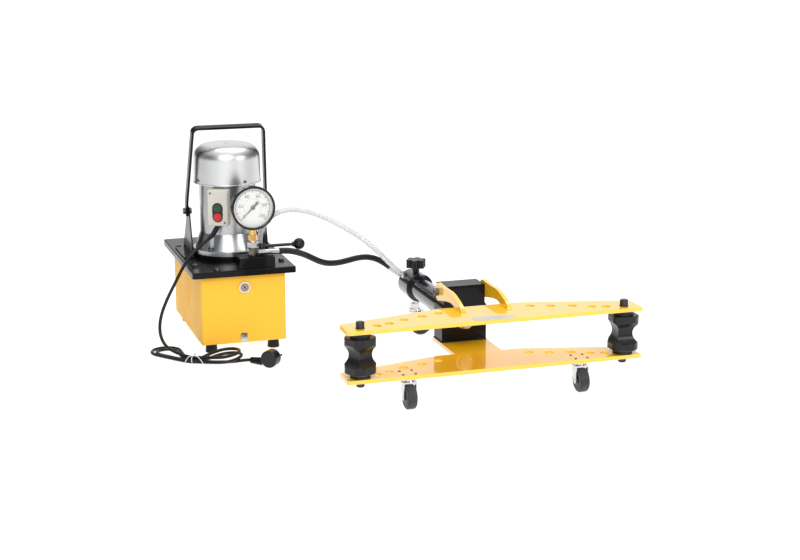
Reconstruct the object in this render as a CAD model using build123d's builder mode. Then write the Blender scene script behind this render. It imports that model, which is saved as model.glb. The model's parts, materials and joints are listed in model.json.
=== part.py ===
"""Electric hydraulic pipe bender: a wheeled two-wing bending frame fed by a separate pump station.

Millimetres, +Z up. The floor is Z = 0 and the origin is below the middle of the whole set.
"bench" places things from the middle of the line through the two roller pins, "station" from
the middle of the pump station's tank. The ram pushes towards -Y.
"""
import os
from math import cos, hypot, pi, radians, sin, tan

from build123d import *

os.makedirs("parts", exist_ok=True)

# ---------------------------------------------------------------- driving dimensions
# Bending frame
PLATE = 8.0                # wing plate thickness
WING_HALF = 316.0          # half the length of a wing
WING_FRONT = -22.0         # front edge of both wings
WING_TIP_BACK = 38.0       # back edge at the tips
WING_MID_BACK = 94.0       # back edge in the middle
WING_MID_HALF = 90.0       # half width of the full-depth middle
LOWER_TOP = 71.0           # top face of the lower wing
WING_GAP = 92.0            # clear height between the wings
PIN_X = 284.0              # roller pins, from the middle
PIN_R = 8.5
PIN_HOLE_R = 9.5           # loose, so that the upper wing can tip up past the pins
HOLE_ROW = [(100, 60), (140, 47), (183, 34), (219, 16), (247, 7)]   # other pin places
ROLLER_R = 31.5            # over the flanges' corners
ROLLER_FLAT = 28.5         # axis to a flange flat
BOSS_R = 20.5              # roller end boss
BOSS_H = 9.0
# pipe groove radius and depth left to the axis, on each of the roller's four sides
GROOVES = [(34.0, 18.5), (30.0, 17.0), (26.0, 15.5), (24.0, 14.5)]
LEFT_ROLLER_TURN = 27.0
RIGHT_ROLLER_TURN = 88.0
BLOCK_FRONT = 182.0
BLOCK_DEPTH = 50.0
BLOCK_LOWER_HALF = 50.0
BLOCK_UPPER_HALF = 46.0
BLOCK_SHOULDER = 148.0
BLOCK_TOP = 193.0
HINGE_Y = 196.0
HINGE_Z = 180.0
ARM_THICK = 8.0
ARM_GAP = 0.4
TUBE_R = 25.0
TUBE_BORE_R = 21.0
COLLAR_R = 32.5
COLLAR_Y0 = 478.0
COLLAR_Y1 = 542.0
RAM_R = 18.0
NOSE_R = 15.0
NOSE_LENGTH = 20.0
STROKE = 190.0
KNOB_Y = 508.0
CASTER_X = 186.0
REAR_CASTER_Y = 514.0
REAR_CASTER_TURN = 48.0
WHEEL_R = 25.0
WHEEL_WIDTH = 20.0
TRAIL = 14.0               # wheel axle ahead of the swivel

# Pump station
STATION_DX = -411.0        # from the bench's middle
STATION_DY = 636.0
TANK_W, TANK_D = 192.0, 334.0
TANK_Y = 16.0               # its middle, behind the motor
TANK_FRONT = TANK_Y - TANK_D / 2
TANK_BOTTOM, TANK_TOP = 22.0, 188.0
TANK_WALL = 3.0
LID_W, LID_D = 233.0, 375.0
LID_TOP = 193.0
LID_LIP = 14.0
SIGHT_Z, DRAIN_Z = 149.0, 34.0
MOTOR_R = 64.0
FLANGE_R = 81.0
COVER_R = 76.0
COVER_BOTTOM, COVER_TOP = 362.0, 449.5
SHAFT_R = 8.0
FIT = 0.05                 # running clearance, radial
VALVE_TOP = 217.0
FITTING_X, FITTING_Y = 25.0, -143.0
PORT_Z = 224.0
GAUGE_R = 49.0
GAUGE_Z = 327.0
GAUGE_FRONT = -160.0
LEVER_X, LEVER_Y = 48.0, -128.0
LEVER_Z = 234.0
LEVER_HUB_R = 6.5
LEVER_ROD_R = 3.5
LEVER_BALL_R = 13.0
LEVER_LENGTH = 86.0
SWITCH_TURN = 26.0         # switch box, turned from the front towards the left
SWITCH_FACE = 92.0         # motor axis to the box's front face
SWITCH_Z0, SWITCH_Z1 = 276.0, 358.0
HANDLE_PIVOT_Y, HANDLE_PIVOT_Z = 20.0, 295.0
HANDLE_TOP_Y, HANDLE_TOP_Z = -25.0, 490.0
HANDLE_HALF_TOP = 78.0
HOSE_D = 14.0
RETURN_D = 12.0
CORD_D = 7.0

# ---------------------------------------------------------------- derived places
MID_Z = LOWER_TOP + WING_GAP / 2          # ram axis and middle of the pipe
UPPER_BOTTOM = LOWER_TOP + WING_GAP
UPPER_TOP = UPPER_BOTTOM + PLATE
CASTER_TOP = LOWER_TOP - PLATE
BLOCK_BACK = BLOCK_FRONT + BLOCK_DEPTH
# The bounding box of everything but the hoses and the mains lead is centred on the origin.
LEFT_EDGE = STATION_DX - LID_W / 2
RIGHT_EDGE = PIN_X + ROLLER_FLAT
FRONT_EDGE = -TRAIL - WHEEL_R
BACK_EDGE = STATION_DY + TANK_Y + LID_D / 2
BENCH_X = -(LEFT_EDGE + RIGHT_EDGE) / 2
BENCH_Y = -(BACK_EDGE + FRONT_EDGE) / 2
STATION_X = BENCH_X + STATION_DX
STATION_Y = BENCH_Y + STATION_DY

UP = (0, 0, 1)
FRONT = (0, -1, 0)
RIGHT = (1, 0, 0)
# The switch box's outward direction, its right, and its seat on the motor.
BOX_OUT = (-sin(radians(SWITCH_TURN)), -cos(radians(SWITCH_TURN)), 0)
BOX_RIGHT = (cos(radians(SWITCH_TURN)), -sin(radians(SWITCH_TURN)), 0)
BOX_BACK = MOTOR_R + 3
SEAT_ROOT = MOTOR_R * 0.9
BOX_MID = (SWITCH_Z0 + SWITCH_Z1) / 2


def bench(x, y, z, z_dir=UP, x_dir=RIGHT):
    """Plane at a place on the bending frame."""
    return Plane(origin=(BENCH_X + x, BENCH_Y + y, z), x_dir=x_dir, z_dir=z_dir)


def station(x, y, z, z_dir=UP, x_dir=RIGHT):
    """Plane at a place on the pump station."""
    return Plane(origin=(STATION_X + x, STATION_Y + y, z), x_dir=x_dir, z_dir=z_dir)


def bench_side(x, y, z):
    """Plane facing +X, with Y to its right and Z up."""
    return bench(x, y, z, z_dir=RIGHT, x_dir=(0, 1, 0))


def station_side(x, y, z):
    """Plane facing +X on the pump station."""
    return station(x, y, z, z_dir=RIGHT, x_dir=(0, 1, 0))


def box_plane(out, z):
    """Plane parallel to the switch box's face, out from the motor's axis."""
    return station(out * BOX_OUT[0], out * BOX_OUT[1], z, z_dir=BOX_OUT, x_dir=BOX_RIGHT)


# ================================================================ bending frame
# ---------------------------------------------------------------- lower wing
tip = (WING_HALF, WING_TIP_BACK)
shoulder = (WING_MID_HALF, WING_MID_BACK)
TAB_HALF = BLOCK_LOWER_HALF + 2
TAB_BACK = BLOCK_BACK + 4

with BuildPart() as lower_wing:
    with BuildSketch(bench(0, 0, CASTER_TOP)) as outline:
        with BuildLine():
            Polyline(
                (-WING_HALF, WING_FRONT), (WING_HALF, WING_FRONT), tip, shoulder,
                (TAB_HALF, WING_MID_BACK), (TAB_HALF, TAB_BACK), (-TAB_HALF, TAB_BACK),
                (-TAB_HALF, WING_MID_BACK), (-shoulder[0], shoulder[1]), (-tip[0], tip[1]),
                close=True,
            )
        make_face()
        corners = outline.vertices().filter_by(lambda v: abs(v.X - BENCH_X) > WING_HALF - 1)
        fillet(corners, radius=5)
        inner = outline.vertices().filter_by(
            lambda v: abs(abs(v.X - BENCH_X) - TAB_HALF) < 1
            and abs(v.Y - BENCH_Y - WING_MID_BACK) < 1
        )
        fillet(inner, radius=22)
        for side in (-1, 1):
            with Locations((side * PIN_X, 0)):
                Circle(PIN_HOLE_R, mode=Mode.SUBTRACT)
            with Locations(*[(side * x, y) for x, y in HOLE_ROW]):
                Circle(PIN_HOLE_R, mode=Mode.SUBTRACT)
    extrude(amount=PLATE)
lower_wing.part.label = "lower_wing"
export_step(lower_wing.part, "parts/lower_wing.step")

# ---------------------------------------------------------------- upper wing
with BuildPart() as upper_wing:
    with BuildSketch(bench(0, 0, UPPER_BOTTOM)) as outline:
        with BuildLine():
            Polyline(
                (-WING_HALF, WING_FRONT), (WING_HALF, WING_FRONT), tip, shoulder,
                (-shoulder[0], shoulder[1]), (-tip[0], tip[1]), close=True,
            )
        make_face()
        corners = outline.vertices().filter_by(lambda v: abs(v.X - BENCH_X) > WING_HALF - 1)
        fillet(corners, radius=5)
        for side in (-1, 1):
            with Locations((side * PIN_X, 0)):
                Circle(PIN_HOLE_R, mode=Mode.SUBTRACT)
            with Locations(*[(side * x, y) for x, y in HOLE_ROW]):
                Circle(PIN_HOLE_R, mode=Mode.SUBTRACT)
    extrude(amount=PLATE)
upper_wing.part.label = "upper_wing"
export_step(upper_wing.part, "parts/upper_wing.step")

# ---------------------------------------------------------------- hinge arms on the upper wing
EYE_R = 19.0
HINGE_BOLT_R = 6.0
ARM_FOOT_FRONT = 50.0
ARM_INNER = BLOCK_UPPER_HALF + ARM_GAP

with BuildPart() as hinge_arms:
    for x in (ARM_INNER, -ARM_INNER - ARM_THICK):
        with BuildSketch(bench_side(x, 0, 0)) as arm:
            with BuildLine():
                toe = (ARM_FOOT_FRONT, UPPER_TOP)
                heel = (WING_MID_BACK, UPPER_TOP)
                top = (HINGE_Y - 8, HINGE_Z + 18.0)
                under = (HINGE_Y - 8, HINGE_Z - 17.0)
                crown = (110, 196)
                Spline(toe, (66, 184), crown, top, tangents=((0.35, 1), (1, 0.05)))
                Line(top, under)
                Spline(under, (145, 171.5), heel, tangents=((-1, 0.2), (-1, -0.5)))
                Line(heel, toe)
            make_face()
            with Locations((HINGE_Y, HINGE_Z)):
                Circle(EYE_R)
                Circle(HINGE_BOLT_R + FIT, mode=Mode.SUBTRACT)
        extrude(amount=ARM_THICK)
hinge_arms.part.label = "hinge_arms"
export_step(hinge_arms.part, "parts/hinge_arms.step")

# ---------------------------------------------------------------- square block
with BuildPart() as square_block:
    with BuildSketch(bench(0, BLOCK_BACK, 0, z_dir=FRONT)) as profile:
        with BuildLine():
            Polyline(
                (-BLOCK_LOWER_HALF, LOWER_TOP), (BLOCK_LOWER_HALF, LOWER_TOP),
                (BLOCK_LOWER_HALF, BLOCK_SHOULDER),
                (BLOCK_UPPER_HALF, BLOCK_SHOULDER + 6), (BLOCK_UPPER_HALF, BLOCK_TOP),
                (-BLOCK_UPPER_HALF, BLOCK_TOP), (-BLOCK_UPPER_HALF, BLOCK_SHOULDER + 6),
                (-BLOCK_LOWER_HALF, BLOCK_SHOULDER), close=True,
            )
        make_face()
    extrude(amount=BLOCK_DEPTH)
    chamfer(square_block.edges().filter_by(Axis.Y), length=1.2)
    with BuildSketch(bench(0, BLOCK_FRONT - 1, MID_Z, z_dir=(0, 1, 0))):
        Circle(RAM_R + FIT)
    extrude(amount=BLOCK_DEPTH + 2, mode=Mode.SUBTRACT)
    with BuildSketch(bench(0, BLOCK_BACK - 20, MID_Z, z_dir=(0, 1, 0))):
        Circle(TUBE_R)
    extrude(amount=21, mode=Mode.SUBTRACT)
    with BuildSketch(bench(0, BLOCK_FRONT, MID_Z, z_dir=(0, 1, 0))):
        Circle(RAM_R + 4)
    extrude(amount=6, mode=Mode.SUBTRACT)
    with BuildSketch(bench_side(-BLOCK_UPPER_HALF - 1, HINGE_Y, HINGE_Z)):
        Circle(HINGE_BOLT_R)
    extrude(amount=2 * BLOCK_UPPER_HALF + 2, mode=Mode.SUBTRACT)
square_block.part.label = "square_block"
export_step(square_block.part, "parts/square_block.step")

# ---------------------------------------------------------------- rod wiper in the block's mouth
with BuildPart() as rod_wiper:
    with BuildSketch(bench(0, BLOCK_FRONT, MID_Z, z_dir=(0, 1, 0))):
        Circle(RAM_R + 4)
        Circle(RAM_R + FIT, mode=Mode.SUBTRACT)
    extrude(amount=6)
rod_wiper.part.label = "rod_wiper"
export_step(rod_wiper.part, "parts/rod_wiper.step")

# ---------------------------------------------------------------- hydraulic cylinder
TUBE_START = BLOCK_BACK - 20
CAP_START = COLLAR_Y1 - 18

with BuildPart() as cylinder_tube:
    with BuildSketch(bench(0, TUBE_START, MID_Z, z_dir=(0, 1, 0))):
        Circle(TUBE_R)
        Circle(TUBE_BORE_R, mode=Mode.SUBTRACT)
    extrude(amount=COLLAR_Y1 - TUBE_START)
cylinder_tube.part.label = "cylinder_tube"
export_step(cylinder_tube.part, "parts/cylinder_tube.step")

with BuildPart() as cylinder_end_cap:
    with BuildSketch(bench(0, CAP_START, MID_Z, z_dir=(0, 1, 0))):
        Circle(TUBE_BORE_R)
    extrude(amount=COLLAR_Y1 - CAP_START)
    with BuildSketch(bench(0, COLLAR_Y1, MID_Z, z_dir=(0, 1, 0))):
        Circle(TUBE_R)
    extrude(amount=4)
cylinder_end_cap.part.label = "cylinder_end_cap"
export_step(cylinder_end_cap.part, "parts/cylinder_end_cap.step")

with BuildPart() as rear_collar:
    with BuildSketch(bench(0, COLLAR_Y0, MID_Z, z_dir=(0, 1, 0))):
        Circle(COLLAR_R)
        Circle(TUBE_R, mode=Mode.SUBTRACT)
    extrude(amount=COLLAR_Y1 - COLLAR_Y0)
    rims = rear_collar.edges().filter_by(GeomType.CIRCLE)
    chamfer(rims.filter_by(lambda e: e.radius > COLLAR_R - 1), length=1.5)
    with BuildSketch(bench(0, COLLAR_Y0, MID_Z + TUBE_R, z_dir=FRONT)):
        with Locations((0, 3.5)):
            Rectangle(16, 7)
    extrude(amount=12)
    with BuildSketch(bench(0, KNOB_Y, MID_Z + COLLAR_R + 3)):
        Circle(5.0 + FIT)
    extrude(amount=-12, mode=Mode.SUBTRACT)
rear_collar.part.label = "rear_collar"
export_step(rear_collar.part, "parts/rear_collar.step")

PISTON_LENGTH = 30.0
PISTON_START = CAP_START - PISTON_LENGTH - 4     # drawn in, with a little oil behind it
SEAL_WIDTH = 6.0
SEAL_START = PISTON_START + (PISTON_LENGTH - SEAL_WIDTH) / 2
SEAL_BORE_R = TUBE_BORE_R - 3

with BuildPart() as piston_ram:
    with BuildSketch(bench(0, BLOCK_FRONT, MID_Z, z_dir=FRONT)):
        Circle(NOSE_R)
    extrude(amount=NOSE_LENGTH)
    chamfer(piston_ram.faces().sort_by(Axis.Y)[0].edges(), length=2)
    with BuildSketch(bench(0, BLOCK_FRONT, MID_Z, z_dir=(0, 1, 0))):
        Circle(RAM_R)
    extrude(amount=PISTON_START - BLOCK_FRONT)
    with BuildSketch(bench(0, PISTON_START, MID_Z, z_dir=(0, 1, 0))):
        Circle(TUBE_BORE_R - FIT)
    extrude(amount=PISTON_LENGTH)
    with BuildSketch(bench(0, SEAL_START, MID_Z, z_dir=(0, 1, 0))):
        Circle(TUBE_BORE_R + 1)
        Circle(SEAL_BORE_R, mode=Mode.SUBTRACT)
    extrude(amount=SEAL_WIDTH, mode=Mode.SUBTRACT)
piston_ram.part.label = "piston_ram"
export_step(piston_ram.part, "parts/piston_ram.step")

with BuildPart() as piston_seal:
    with BuildSketch(bench(0, SEAL_START, MID_Z, z_dir=(0, 1, 0))):
        Circle(TUBE_BORE_R - FIT)
        Circle(SEAL_BORE_R, mode=Mode.SUBTRACT)
    extrude(amount=SEAL_WIDTH)
piston_seal.part.label = "piston_seal"
export_step(piston_seal.part, "parts/piston_seal.step")

# ---------------------------------------------------------------- star knob of the bleed screw
KNOB_R = 23.0
KNOB_BASE = MID_Z + COLLAR_R + 10.5

with BuildPart() as star_knob:
    with BuildSketch(bench(0, KNOB_Y, MID_Z + TUBE_R + 1)):
        Circle(5)
    extrude(amount=COLLAR_R - TUBE_R)
    with BuildSketch(bench(0, KNOB_Y, MID_Z + COLLAR_R + 0.6)):
        Circle(8)
    extrude(amount=KNOB_BASE - MID_Z - COLLAR_R - 0.6)
    with BuildSketch(bench(0, KNOB_Y, KNOB_BASE)):
        Circle(KNOB_R - 6)
        with PolarLocations(KNOB_R - 7, 6):
            Circle(7)
    extrude(amount=19)
    fillet(star_knob.faces().sort_by(Axis.Z)[-1].edges(), radius=1.5)
star_knob.part.label = "star_knob"
export_step(star_knob.part, "parts/star_knob.step")

# ---------------------------------------------------------------- rollers and their pins
ROLLER_BOTTOM = LOWER_TOP + 0.4
ROLLER_TOP = UPPER_BOTTOM - 0.4
PIN_BOTTOM = CASTER_TOP - 12
PIN_TOP = UPPER_TOP + 14

for name, side, turn in (
    ("left_roller", -1, LEFT_ROLLER_TURN),
    ("right_roller", 1, RIGHT_ROLLER_TURN),
):
    spin = (cos(radians(turn)), sin(radians(turn)), 0)
    with BuildPart() as roller:
        with BuildSketch(bench(side * PIN_X, 0, ROLLER_BOTTOM, x_dir=spin)):
            Circle(BOSS_R)
        extrude(amount=ROLLER_TOP - ROLLER_BOTTOM)
        with BuildSketch(bench(side * PIN_X, 0, ROLLER_BOTTOM + BOSS_H, x_dir=spin)):
            Circle(ROLLER_R)
            Rectangle(2 * ROLLER_FLAT, 2 * ROLLER_FLAT, mode=Mode.INTERSECT)
        extrude(amount=ROLLER_TOP - ROLLER_BOTTOM - 2 * BOSS_H)
        flange_rims = roller.edges().filter_by(
            lambda e: abs(abs(e.center().Z - MID_Z) - (ROLLER_TOP - MID_Z - BOSS_H)) < 0.1
            and abs(e.center().Z - e.vertices()[0].Z) < 0.01
            and hypot(e.vertices()[0].X - BENCH_X - side * PIN_X, e.vertices()[0].Y - BENCH_Y)
            > ROLLER_FLAT
        )
        chamfer(flange_rims, length=1.5)
        for quarter, (groove_r, left) in enumerate(GROOVES):
            angle = radians(turn + 90 * quarter)
            across = (-sin(angle), cos(angle), 0)
            out = left + groove_r
            with BuildSketch(
                bench(
                    side * PIN_X + out * cos(angle) - 40 * across[0],
                    out * sin(angle) - 40 * across[1],
                    MID_Z, z_dir=across, x_dir=UP,
                )
            ):
                Circle(groove_r)
            extrude(amount=80, mode=Mode.SUBTRACT)
        with BuildSketch(bench(side * PIN_X, 0, ROLLER_BOTTOM - 1)):
            Circle(PIN_R + FIT)
        extrude(amount=ROLLER_TOP - ROLLER_BOTTOM + 2, mode=Mode.SUBTRACT)
    roller.part.label = name
    export_step(roller.part, f"parts/{name}.step")

for name, side in (("left_roller_pin", -1), ("right_roller_pin", 1)):
    with BuildPart() as pin:
        with BuildSketch(bench(side * PIN_X, 0, PIN_BOTTOM)):
            Circle(PIN_R)
        extrude(amount=PIN_TOP - PIN_BOTTOM)
        chamfer(pin.edges().filter_by(GeomType.CIRCLE), length=1.5)
    pin.part.label = name
    export_step(pin.part, f"parts/{name}.step")

# ---------------------------------------------------------------- casters
KING_R = 4.0
CASTER_GAP = 0.3
RACE_BOTTOM = CASTER_TOP - 7.1
WEB_THICK = 2.6
CASTERS = (
    ("left", -CASTER_X, 0.0, 0.0),
    ("right", CASTER_X, 0.0, 0.0),
    ("rear", 0.0, REAR_CASTER_Y, REAR_CASTER_TURN),
)

with BuildPart() as caster_mounts:
    for name, x, y, turn in CASTERS:
        with BuildSketch(bench(x, y, RACE_BOTTOM)):
            Circle(14)
        extrude(amount=CASTER_TOP - RACE_BOTTOM - 2)
        with BuildSketch(bench(x, y, RACE_BOTTOM - WEB_THICK - 2 * CASTER_GAP - 2)):
            Circle(7)
        extrude(amount=2)
        with BuildSketch(bench(x, y, RACE_BOTTOM - WEB_THICK - 2 * CASTER_GAP)):
            Circle(KING_R)
        extrude(amount=WEB_THICK + 2 * CASTER_GAP)
        if name != "rear":
            with BuildSketch(bench(x, y, CASTER_TOP - 2)):
                RectangleRounded(38, 38, 4)
            extrude(amount=2)
        if name == "rear":
            with BuildSketch(bench(x, y, CASTER_TOP - 2)):
                Circle(11)
            extrude(amount=4)
            with BuildSketch(bench(x, y, CASTER_TOP + 2)):
                RegularPolygon(radius=12, side_count=6)
            extrude(amount=9)
            with BuildSketch(bench(x, y, CASTER_TOP + 11)):
                Circle(6)
            extrude(until=Until.NEXT, target=rear_collar.part.solid())
caster_mounts.part.label = "caster_mounts"
export_step(caster_mounts.part, "parts/caster_mounts.step")

AXLE_R = 3.0
LEG_GAP = WHEEL_WIDTH / 2 + 2.2
LEG_THICK = 2.4

for name, x, y, turn in CASTERS:
    ahead = (sin(radians(turn)), -cos(radians(turn)), 0)
    across = (cos(radians(turn)), sin(radians(turn)), 0)
    back = (-ahead[0], -ahead[1], 0)
    web_z = RACE_BOTTOM - WEB_THICK - CASTER_GAP
    with BuildPart() as fork:
        with BuildSketch(bench(x, y, web_z, x_dir=across)) as web:
            Circle(LEG_GAP + LEG_THICK)
            with Locations((0, -9)):
                Rectangle(2 * (LEG_GAP + LEG_THICK), 18)
            Circle(KING_R + FIT, mode=Mode.SUBTRACT)
        extrude(amount=WEB_THICK)
        for side in (-1, 1):
            start = side * LEG_GAP
            with BuildSketch(
                bench(x + start * across[0], y + start * across[1], 0,
                      z_dir=across, x_dir=back)
            ):
                with BuildLine():
                    Polyline((-18, web_z + WEB_THICK), (2, web_z + WEB_THICK),
                             (2, web_z - 4), (-7.5, WHEEL_R - 2), (-20.5, WHEEL_R - 2),
                             (-18, web_z + WEB_THICK))
                make_face()
                with Locations((-TRAIL, WHEEL_R)):
                    Circle(6.8)
            extrude(amount=side * LEG_THICK)
        half = LEG_GAP + LEG_THICK + 1.5
        with BuildSketch(
            bench(x + TRAIL * ahead[0] - half * across[0],
                  y + TRAIL * ahead[1] - half * across[1],
                  WHEEL_R, z_dir=across, x_dir=back)
        ):
            Circle(AXLE_R)
        extrude(amount=2 * half)
    fork.part.label = f"{name}_caster_fork"
    export_step(fork.part, f"parts/{name}_caster_fork.step")

    with BuildPart() as wheel:
        with BuildSketch(
            bench(x + TRAIL * ahead[0] - WHEEL_WIDTH / 2 * across[0],
                  y + TRAIL * ahead[1] - WHEEL_WIDTH / 2 * across[1],
                  WHEEL_R, z_dir=across, x_dir=back)
        ):
            Circle(WHEEL_R)
            Circle(AXLE_R + FIT, mode=Mode.SUBTRACT)
        extrude(amount=WHEEL_WIDTH)
        rims = wheel.edges().filter_by(GeomType.CIRCLE)
        fillet(rims.filter_by(lambda e: e.radius > WHEEL_R - 1), radius=4.5)
    wheel.part.label = f"{name}_caster_wheel"
    export_step(wheel.part, f"parts/{name}_caster_wheel.step")

# ================================================================ pump station
# ---------------------------------------------------------------- oil tank and feet
with BuildPart() as oil_tank:
    with BuildSketch(station(0, TANK_Y, TANK_BOTTOM)):
        RectangleRounded(TANK_W, TANK_D, 5)
    extrude(amount=TANK_TOP - TANK_BOTTOM)
    offset(amount=-TANK_WALL, openings=oil_tank.faces().sort_by(Axis.Z)[-1])
    with BuildSketch(station(0, TANK_FRONT, 0, z_dir=FRONT)):
        with Locations((2, SIGHT_Z)):
            Circle(10)
        with Locations((-1, DRAIN_Z)):
            Circle(5)
    extrude(amount=-TANK_WALL - 1, mode=Mode.SUBTRACT)
oil_tank.part.label = "oil_tank"
export_step(oil_tank.part, "parts/oil_tank.step")

with BuildPart() as rubber_feet:
    with BuildSketch(station(0, TANK_Y, 0)):
        with GridLocations(TANK_W - 50, TANK_D - 50, 2, 2):
            Circle(13.5)
    extrude(amount=TANK_BOTTOM, taper=4)
rubber_feet.part.label = "rubber_feet"
export_step(rubber_feet.part, "parts/rubber_feet.step")

with BuildPart() as tank_fittings:
    # sight glass bezel
    with BuildSketch(station(2, TANK_FRONT, SIGHT_Z, z_dir=FRONT)):
        Circle(13)
        Circle(9.5, mode=Mode.SUBTRACT)
    extrude(amount=4)
    with BuildSketch(station(2, TANK_FRONT, SIGHT_Z, z_dir=FRONT)):
        Circle(10)
        Circle(9.5, mode=Mode.SUBTRACT)
    extrude(amount=-TANK_WALL)
    # drain plug on its small plate
    with BuildSketch(station(-1, TANK_FRONT, DRAIN_Z, z_dir=FRONT)):
        RectangleRounded(15, 20, 3)
    extrude(amount=2)
    with BuildSketch(station(-1, TANK_FRONT - 2, DRAIN_Z, z_dir=FRONT)):
        RegularPolygon(radius=6.5, side_count=6)
    extrude(amount=5)
    with BuildSketch(station(-1, TANK_FRONT, DRAIN_Z, z_dir=FRONT)):
        Circle(5)
    extrude(amount=-TANK_WALL - 3)
tank_fittings.part.label = "tank_fittings"
export_step(tank_fittings.part, "parts/tank_fittings.step")

with BuildPart() as sight_glass:
    with BuildSketch(station(2, TANK_FRONT, SIGHT_Z, z_dir=FRONT)):
        Circle(9.5)
    extrude(amount=2.5)
    extrude(sight_glass.faces().sort_by(Axis.Y)[-1], amount=TANK_WALL)
sight_glass.part.label = "sight_glass"
export_step(sight_glass.part, "parts/sight_glass.step")

# ---------------------------------------------------------------- lid
SHAFT_HOLE_R = 16.0

with BuildPart() as tank_lid:
    with BuildSketch(station(0, TANK_Y, LID_TOP - LID_LIP)):
        RectangleRounded(LID_W, LID_D, 6)
    extrude(amount=LID_LIP)
    fillet(tank_lid.faces().sort_by(Axis.Z)[-1].edges(), radius=3)
    with BuildSketch(station(0, TANK_Y, LID_TOP - LID_LIP)):
        RectangleRounded(LID_W - 6, LID_D - 6, 4)
    extrude(amount=TANK_TOP - LID_TOP + LID_LIP, mode=Mode.SUBTRACT)
    with BuildSketch(station(0, 0, TANK_TOP - 1)):
        Circle(SHAFT_HOLE_R)
    extrude(amount=10, mode=Mode.SUBTRACT)
tank_lid.part.label = "tank_lid"
export_step(tank_lid.part, "parts/tank_lid.step")

# Hexagon bolts: lid to tank, motor flange to lid, and block to lower wing.
LID_BOLTS = [(sx * 98, y) for sx in (-1, 1) for y in (-105, 105)]
LID_BOLTS += [(-60, -158), (-60, 190), (60, 190)]
FLANGE_BOLTS = [(72 * cos(radians(a)), 72 * sin(radians(a))) for a in (45, 135, 225, 315)]
FLANGE_TOP = 213.0

with BuildPart() as hex_bolts:
    with BuildSketch(station(0, 0, LID_TOP)):
        with Locations(*LID_BOLTS):
            RegularPolygon(radius=6.5, side_count=6)
    extrude(amount=5)
    with BuildSketch(station(0, 0, FLANGE_TOP)):
        with Locations(*FLANGE_BOLTS):
            RegularPolygon(radius=6.5, side_count=6)
    extrude(amount=5)
    with BuildSketch(bench(0, (BLOCK_FRONT + BLOCK_BACK) / 2, CASTER_TOP)):
        with GridLocations(70, 26, 2, 2):
            RegularPolygon(radius=8, side_count=6)
    extrude(amount=-7)
hex_bolts.part.label = "hex_bolts"
export_step(hex_bolts.part, "parts/hex_bolts.step")

# ---------------------------------------------------------------- motor
BEARING_R = 20.0
BEARING_W = 10.0
FRAME_TOP = 366.0
FLOOR_Z = 213.0
STATOR_Z0, STATOR_Z1 = 262.0, 338.0

with BuildPart() as motor_flange:
    with BuildSketch(station(0, 0, LID_TOP)):
        Circle(FLANGE_R + 1)
        Circle(SHAFT_HOLE_R, mode=Mode.SUBTRACT)
    extrude(amount=10)
motor_flange.part.label = "motor_flange"
export_step(motor_flange.part, "parts/motor_flange.step")

with BuildPart() as motor_housing:
    with BuildSketch(station(0, 0, 0, z_dir=FRONT)):
        with BuildLine():
            Polyline(
                (BEARING_R, 203), (FLANGE_R, 203), (FLANGE_R, FLOOR_Z), (FLANGE_R - 5, FLOOR_Z),
                (MOTOR_R + 2, 244), (MOTOR_R, 250), (MOTOR_R, FRAME_TOP), (BEARING_R, FRAME_TOP),
                (BEARING_R, FRAME_TOP - BEARING_W), (MOTOR_R - 5, FRAME_TOP - BEARING_W),
                (MOTOR_R - 5, 216), (BEARING_R, 216), close=True,
            )
        make_face()
    revolve(axis=Axis((STATION_X, STATION_Y, 0), UP))
    # the cast seat for the switch box
    with BuildSketch(box_plane(SEAT_ROOT, BOX_MID)):
        Rectangle(40, SWITCH_Z1 - SWITCH_Z0 - 12)
    extrude(amount=BOX_BACK - SEAT_ROOT)
    with BuildSketch(station(0, 0, 216)):
        Circle(MOTOR_R - 5)
    extrude(amount=FRAME_TOP - BEARING_W - 216, mode=Mode.SUBTRACT)
    # pockets in the foot for the flange bolts
    with BuildSketch(station(0, 0, FLOOR_Z)):
        with Locations(*FLANGE_BOLTS):
            Circle(8)
    extrude(amount=30, mode=Mode.SUBTRACT)
motor_housing.part.label = "motor_housing"
export_step(motor_housing.part, "parts/motor_housing.step")

with BuildPart() as motor_bearings:
    for z in (204.5, FRAME_TOP - BEARING_W):
        with BuildSketch(station(0, 0, z)):
            Circle(BEARING_R)
            Circle(SHAFT_R + FIT, mode=Mode.SUBTRACT)
        extrude(amount=BEARING_W)
motor_bearings.part.label = "motor_bearings"
export_step(motor_bearings.part, "parts/motor_bearings.step")

with BuildPart() as stator_core:
    with BuildSketch(station(0, 0, STATOR_Z0)):
        Circle(MOTOR_R - 5)
        Circle(35, mode=Mode.SUBTRACT)
    extrude(amount=STATOR_Z1 - STATOR_Z0)
stator_core.part.label = "stator_core"
export_step(stator_core.part, "parts/stator_core.step")

CAM_Z0, CAM_Z1 = 128.0, 146.0
with BuildPart() as rotor_shaft:
    with BuildSketch(station(0, 0, 118)):
        Circle(SHAFT_R)
    extrude(amount=424 - 118)
    with BuildSketch(station(0, 0, STATOR_Z0)):
        Circle(34)
    extrude(amount=STATOR_Z1 - STATOR_Z0)
    with BuildSketch(station(2.5, 0, CAM_Z0)):
        Circle(15)
    extrude(amount=CAM_Z1 - CAM_Z0)
rotor_shaft.part.label = "rotor_shaft"
export_step(rotor_shaft.part, "parts/rotor_shaft.step")

with BuildPart() as cooling_fan:
    with BuildSketch(station(0, 0, 384)):
        Circle(60)
        Circle(SHAFT_R, mode=Mode.SUBTRACT)
    extrude(amount=2.5)
    with BuildSketch(station(0, 0, 384)):
        Circle(14)
        Circle(SHAFT_R, mode=Mode.SUBTRACT)
    extrude(amount=22)
    with BuildSketch(station(0, 0, 386)):
        with PolarLocations(36, 8):
            Rectangle(46, 2.4)
    extrude(amount=20)
cooling_fan.part.label = "cooling_fan"
export_step(cooling_fan.part, "parts/cooling_fan.step")

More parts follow.
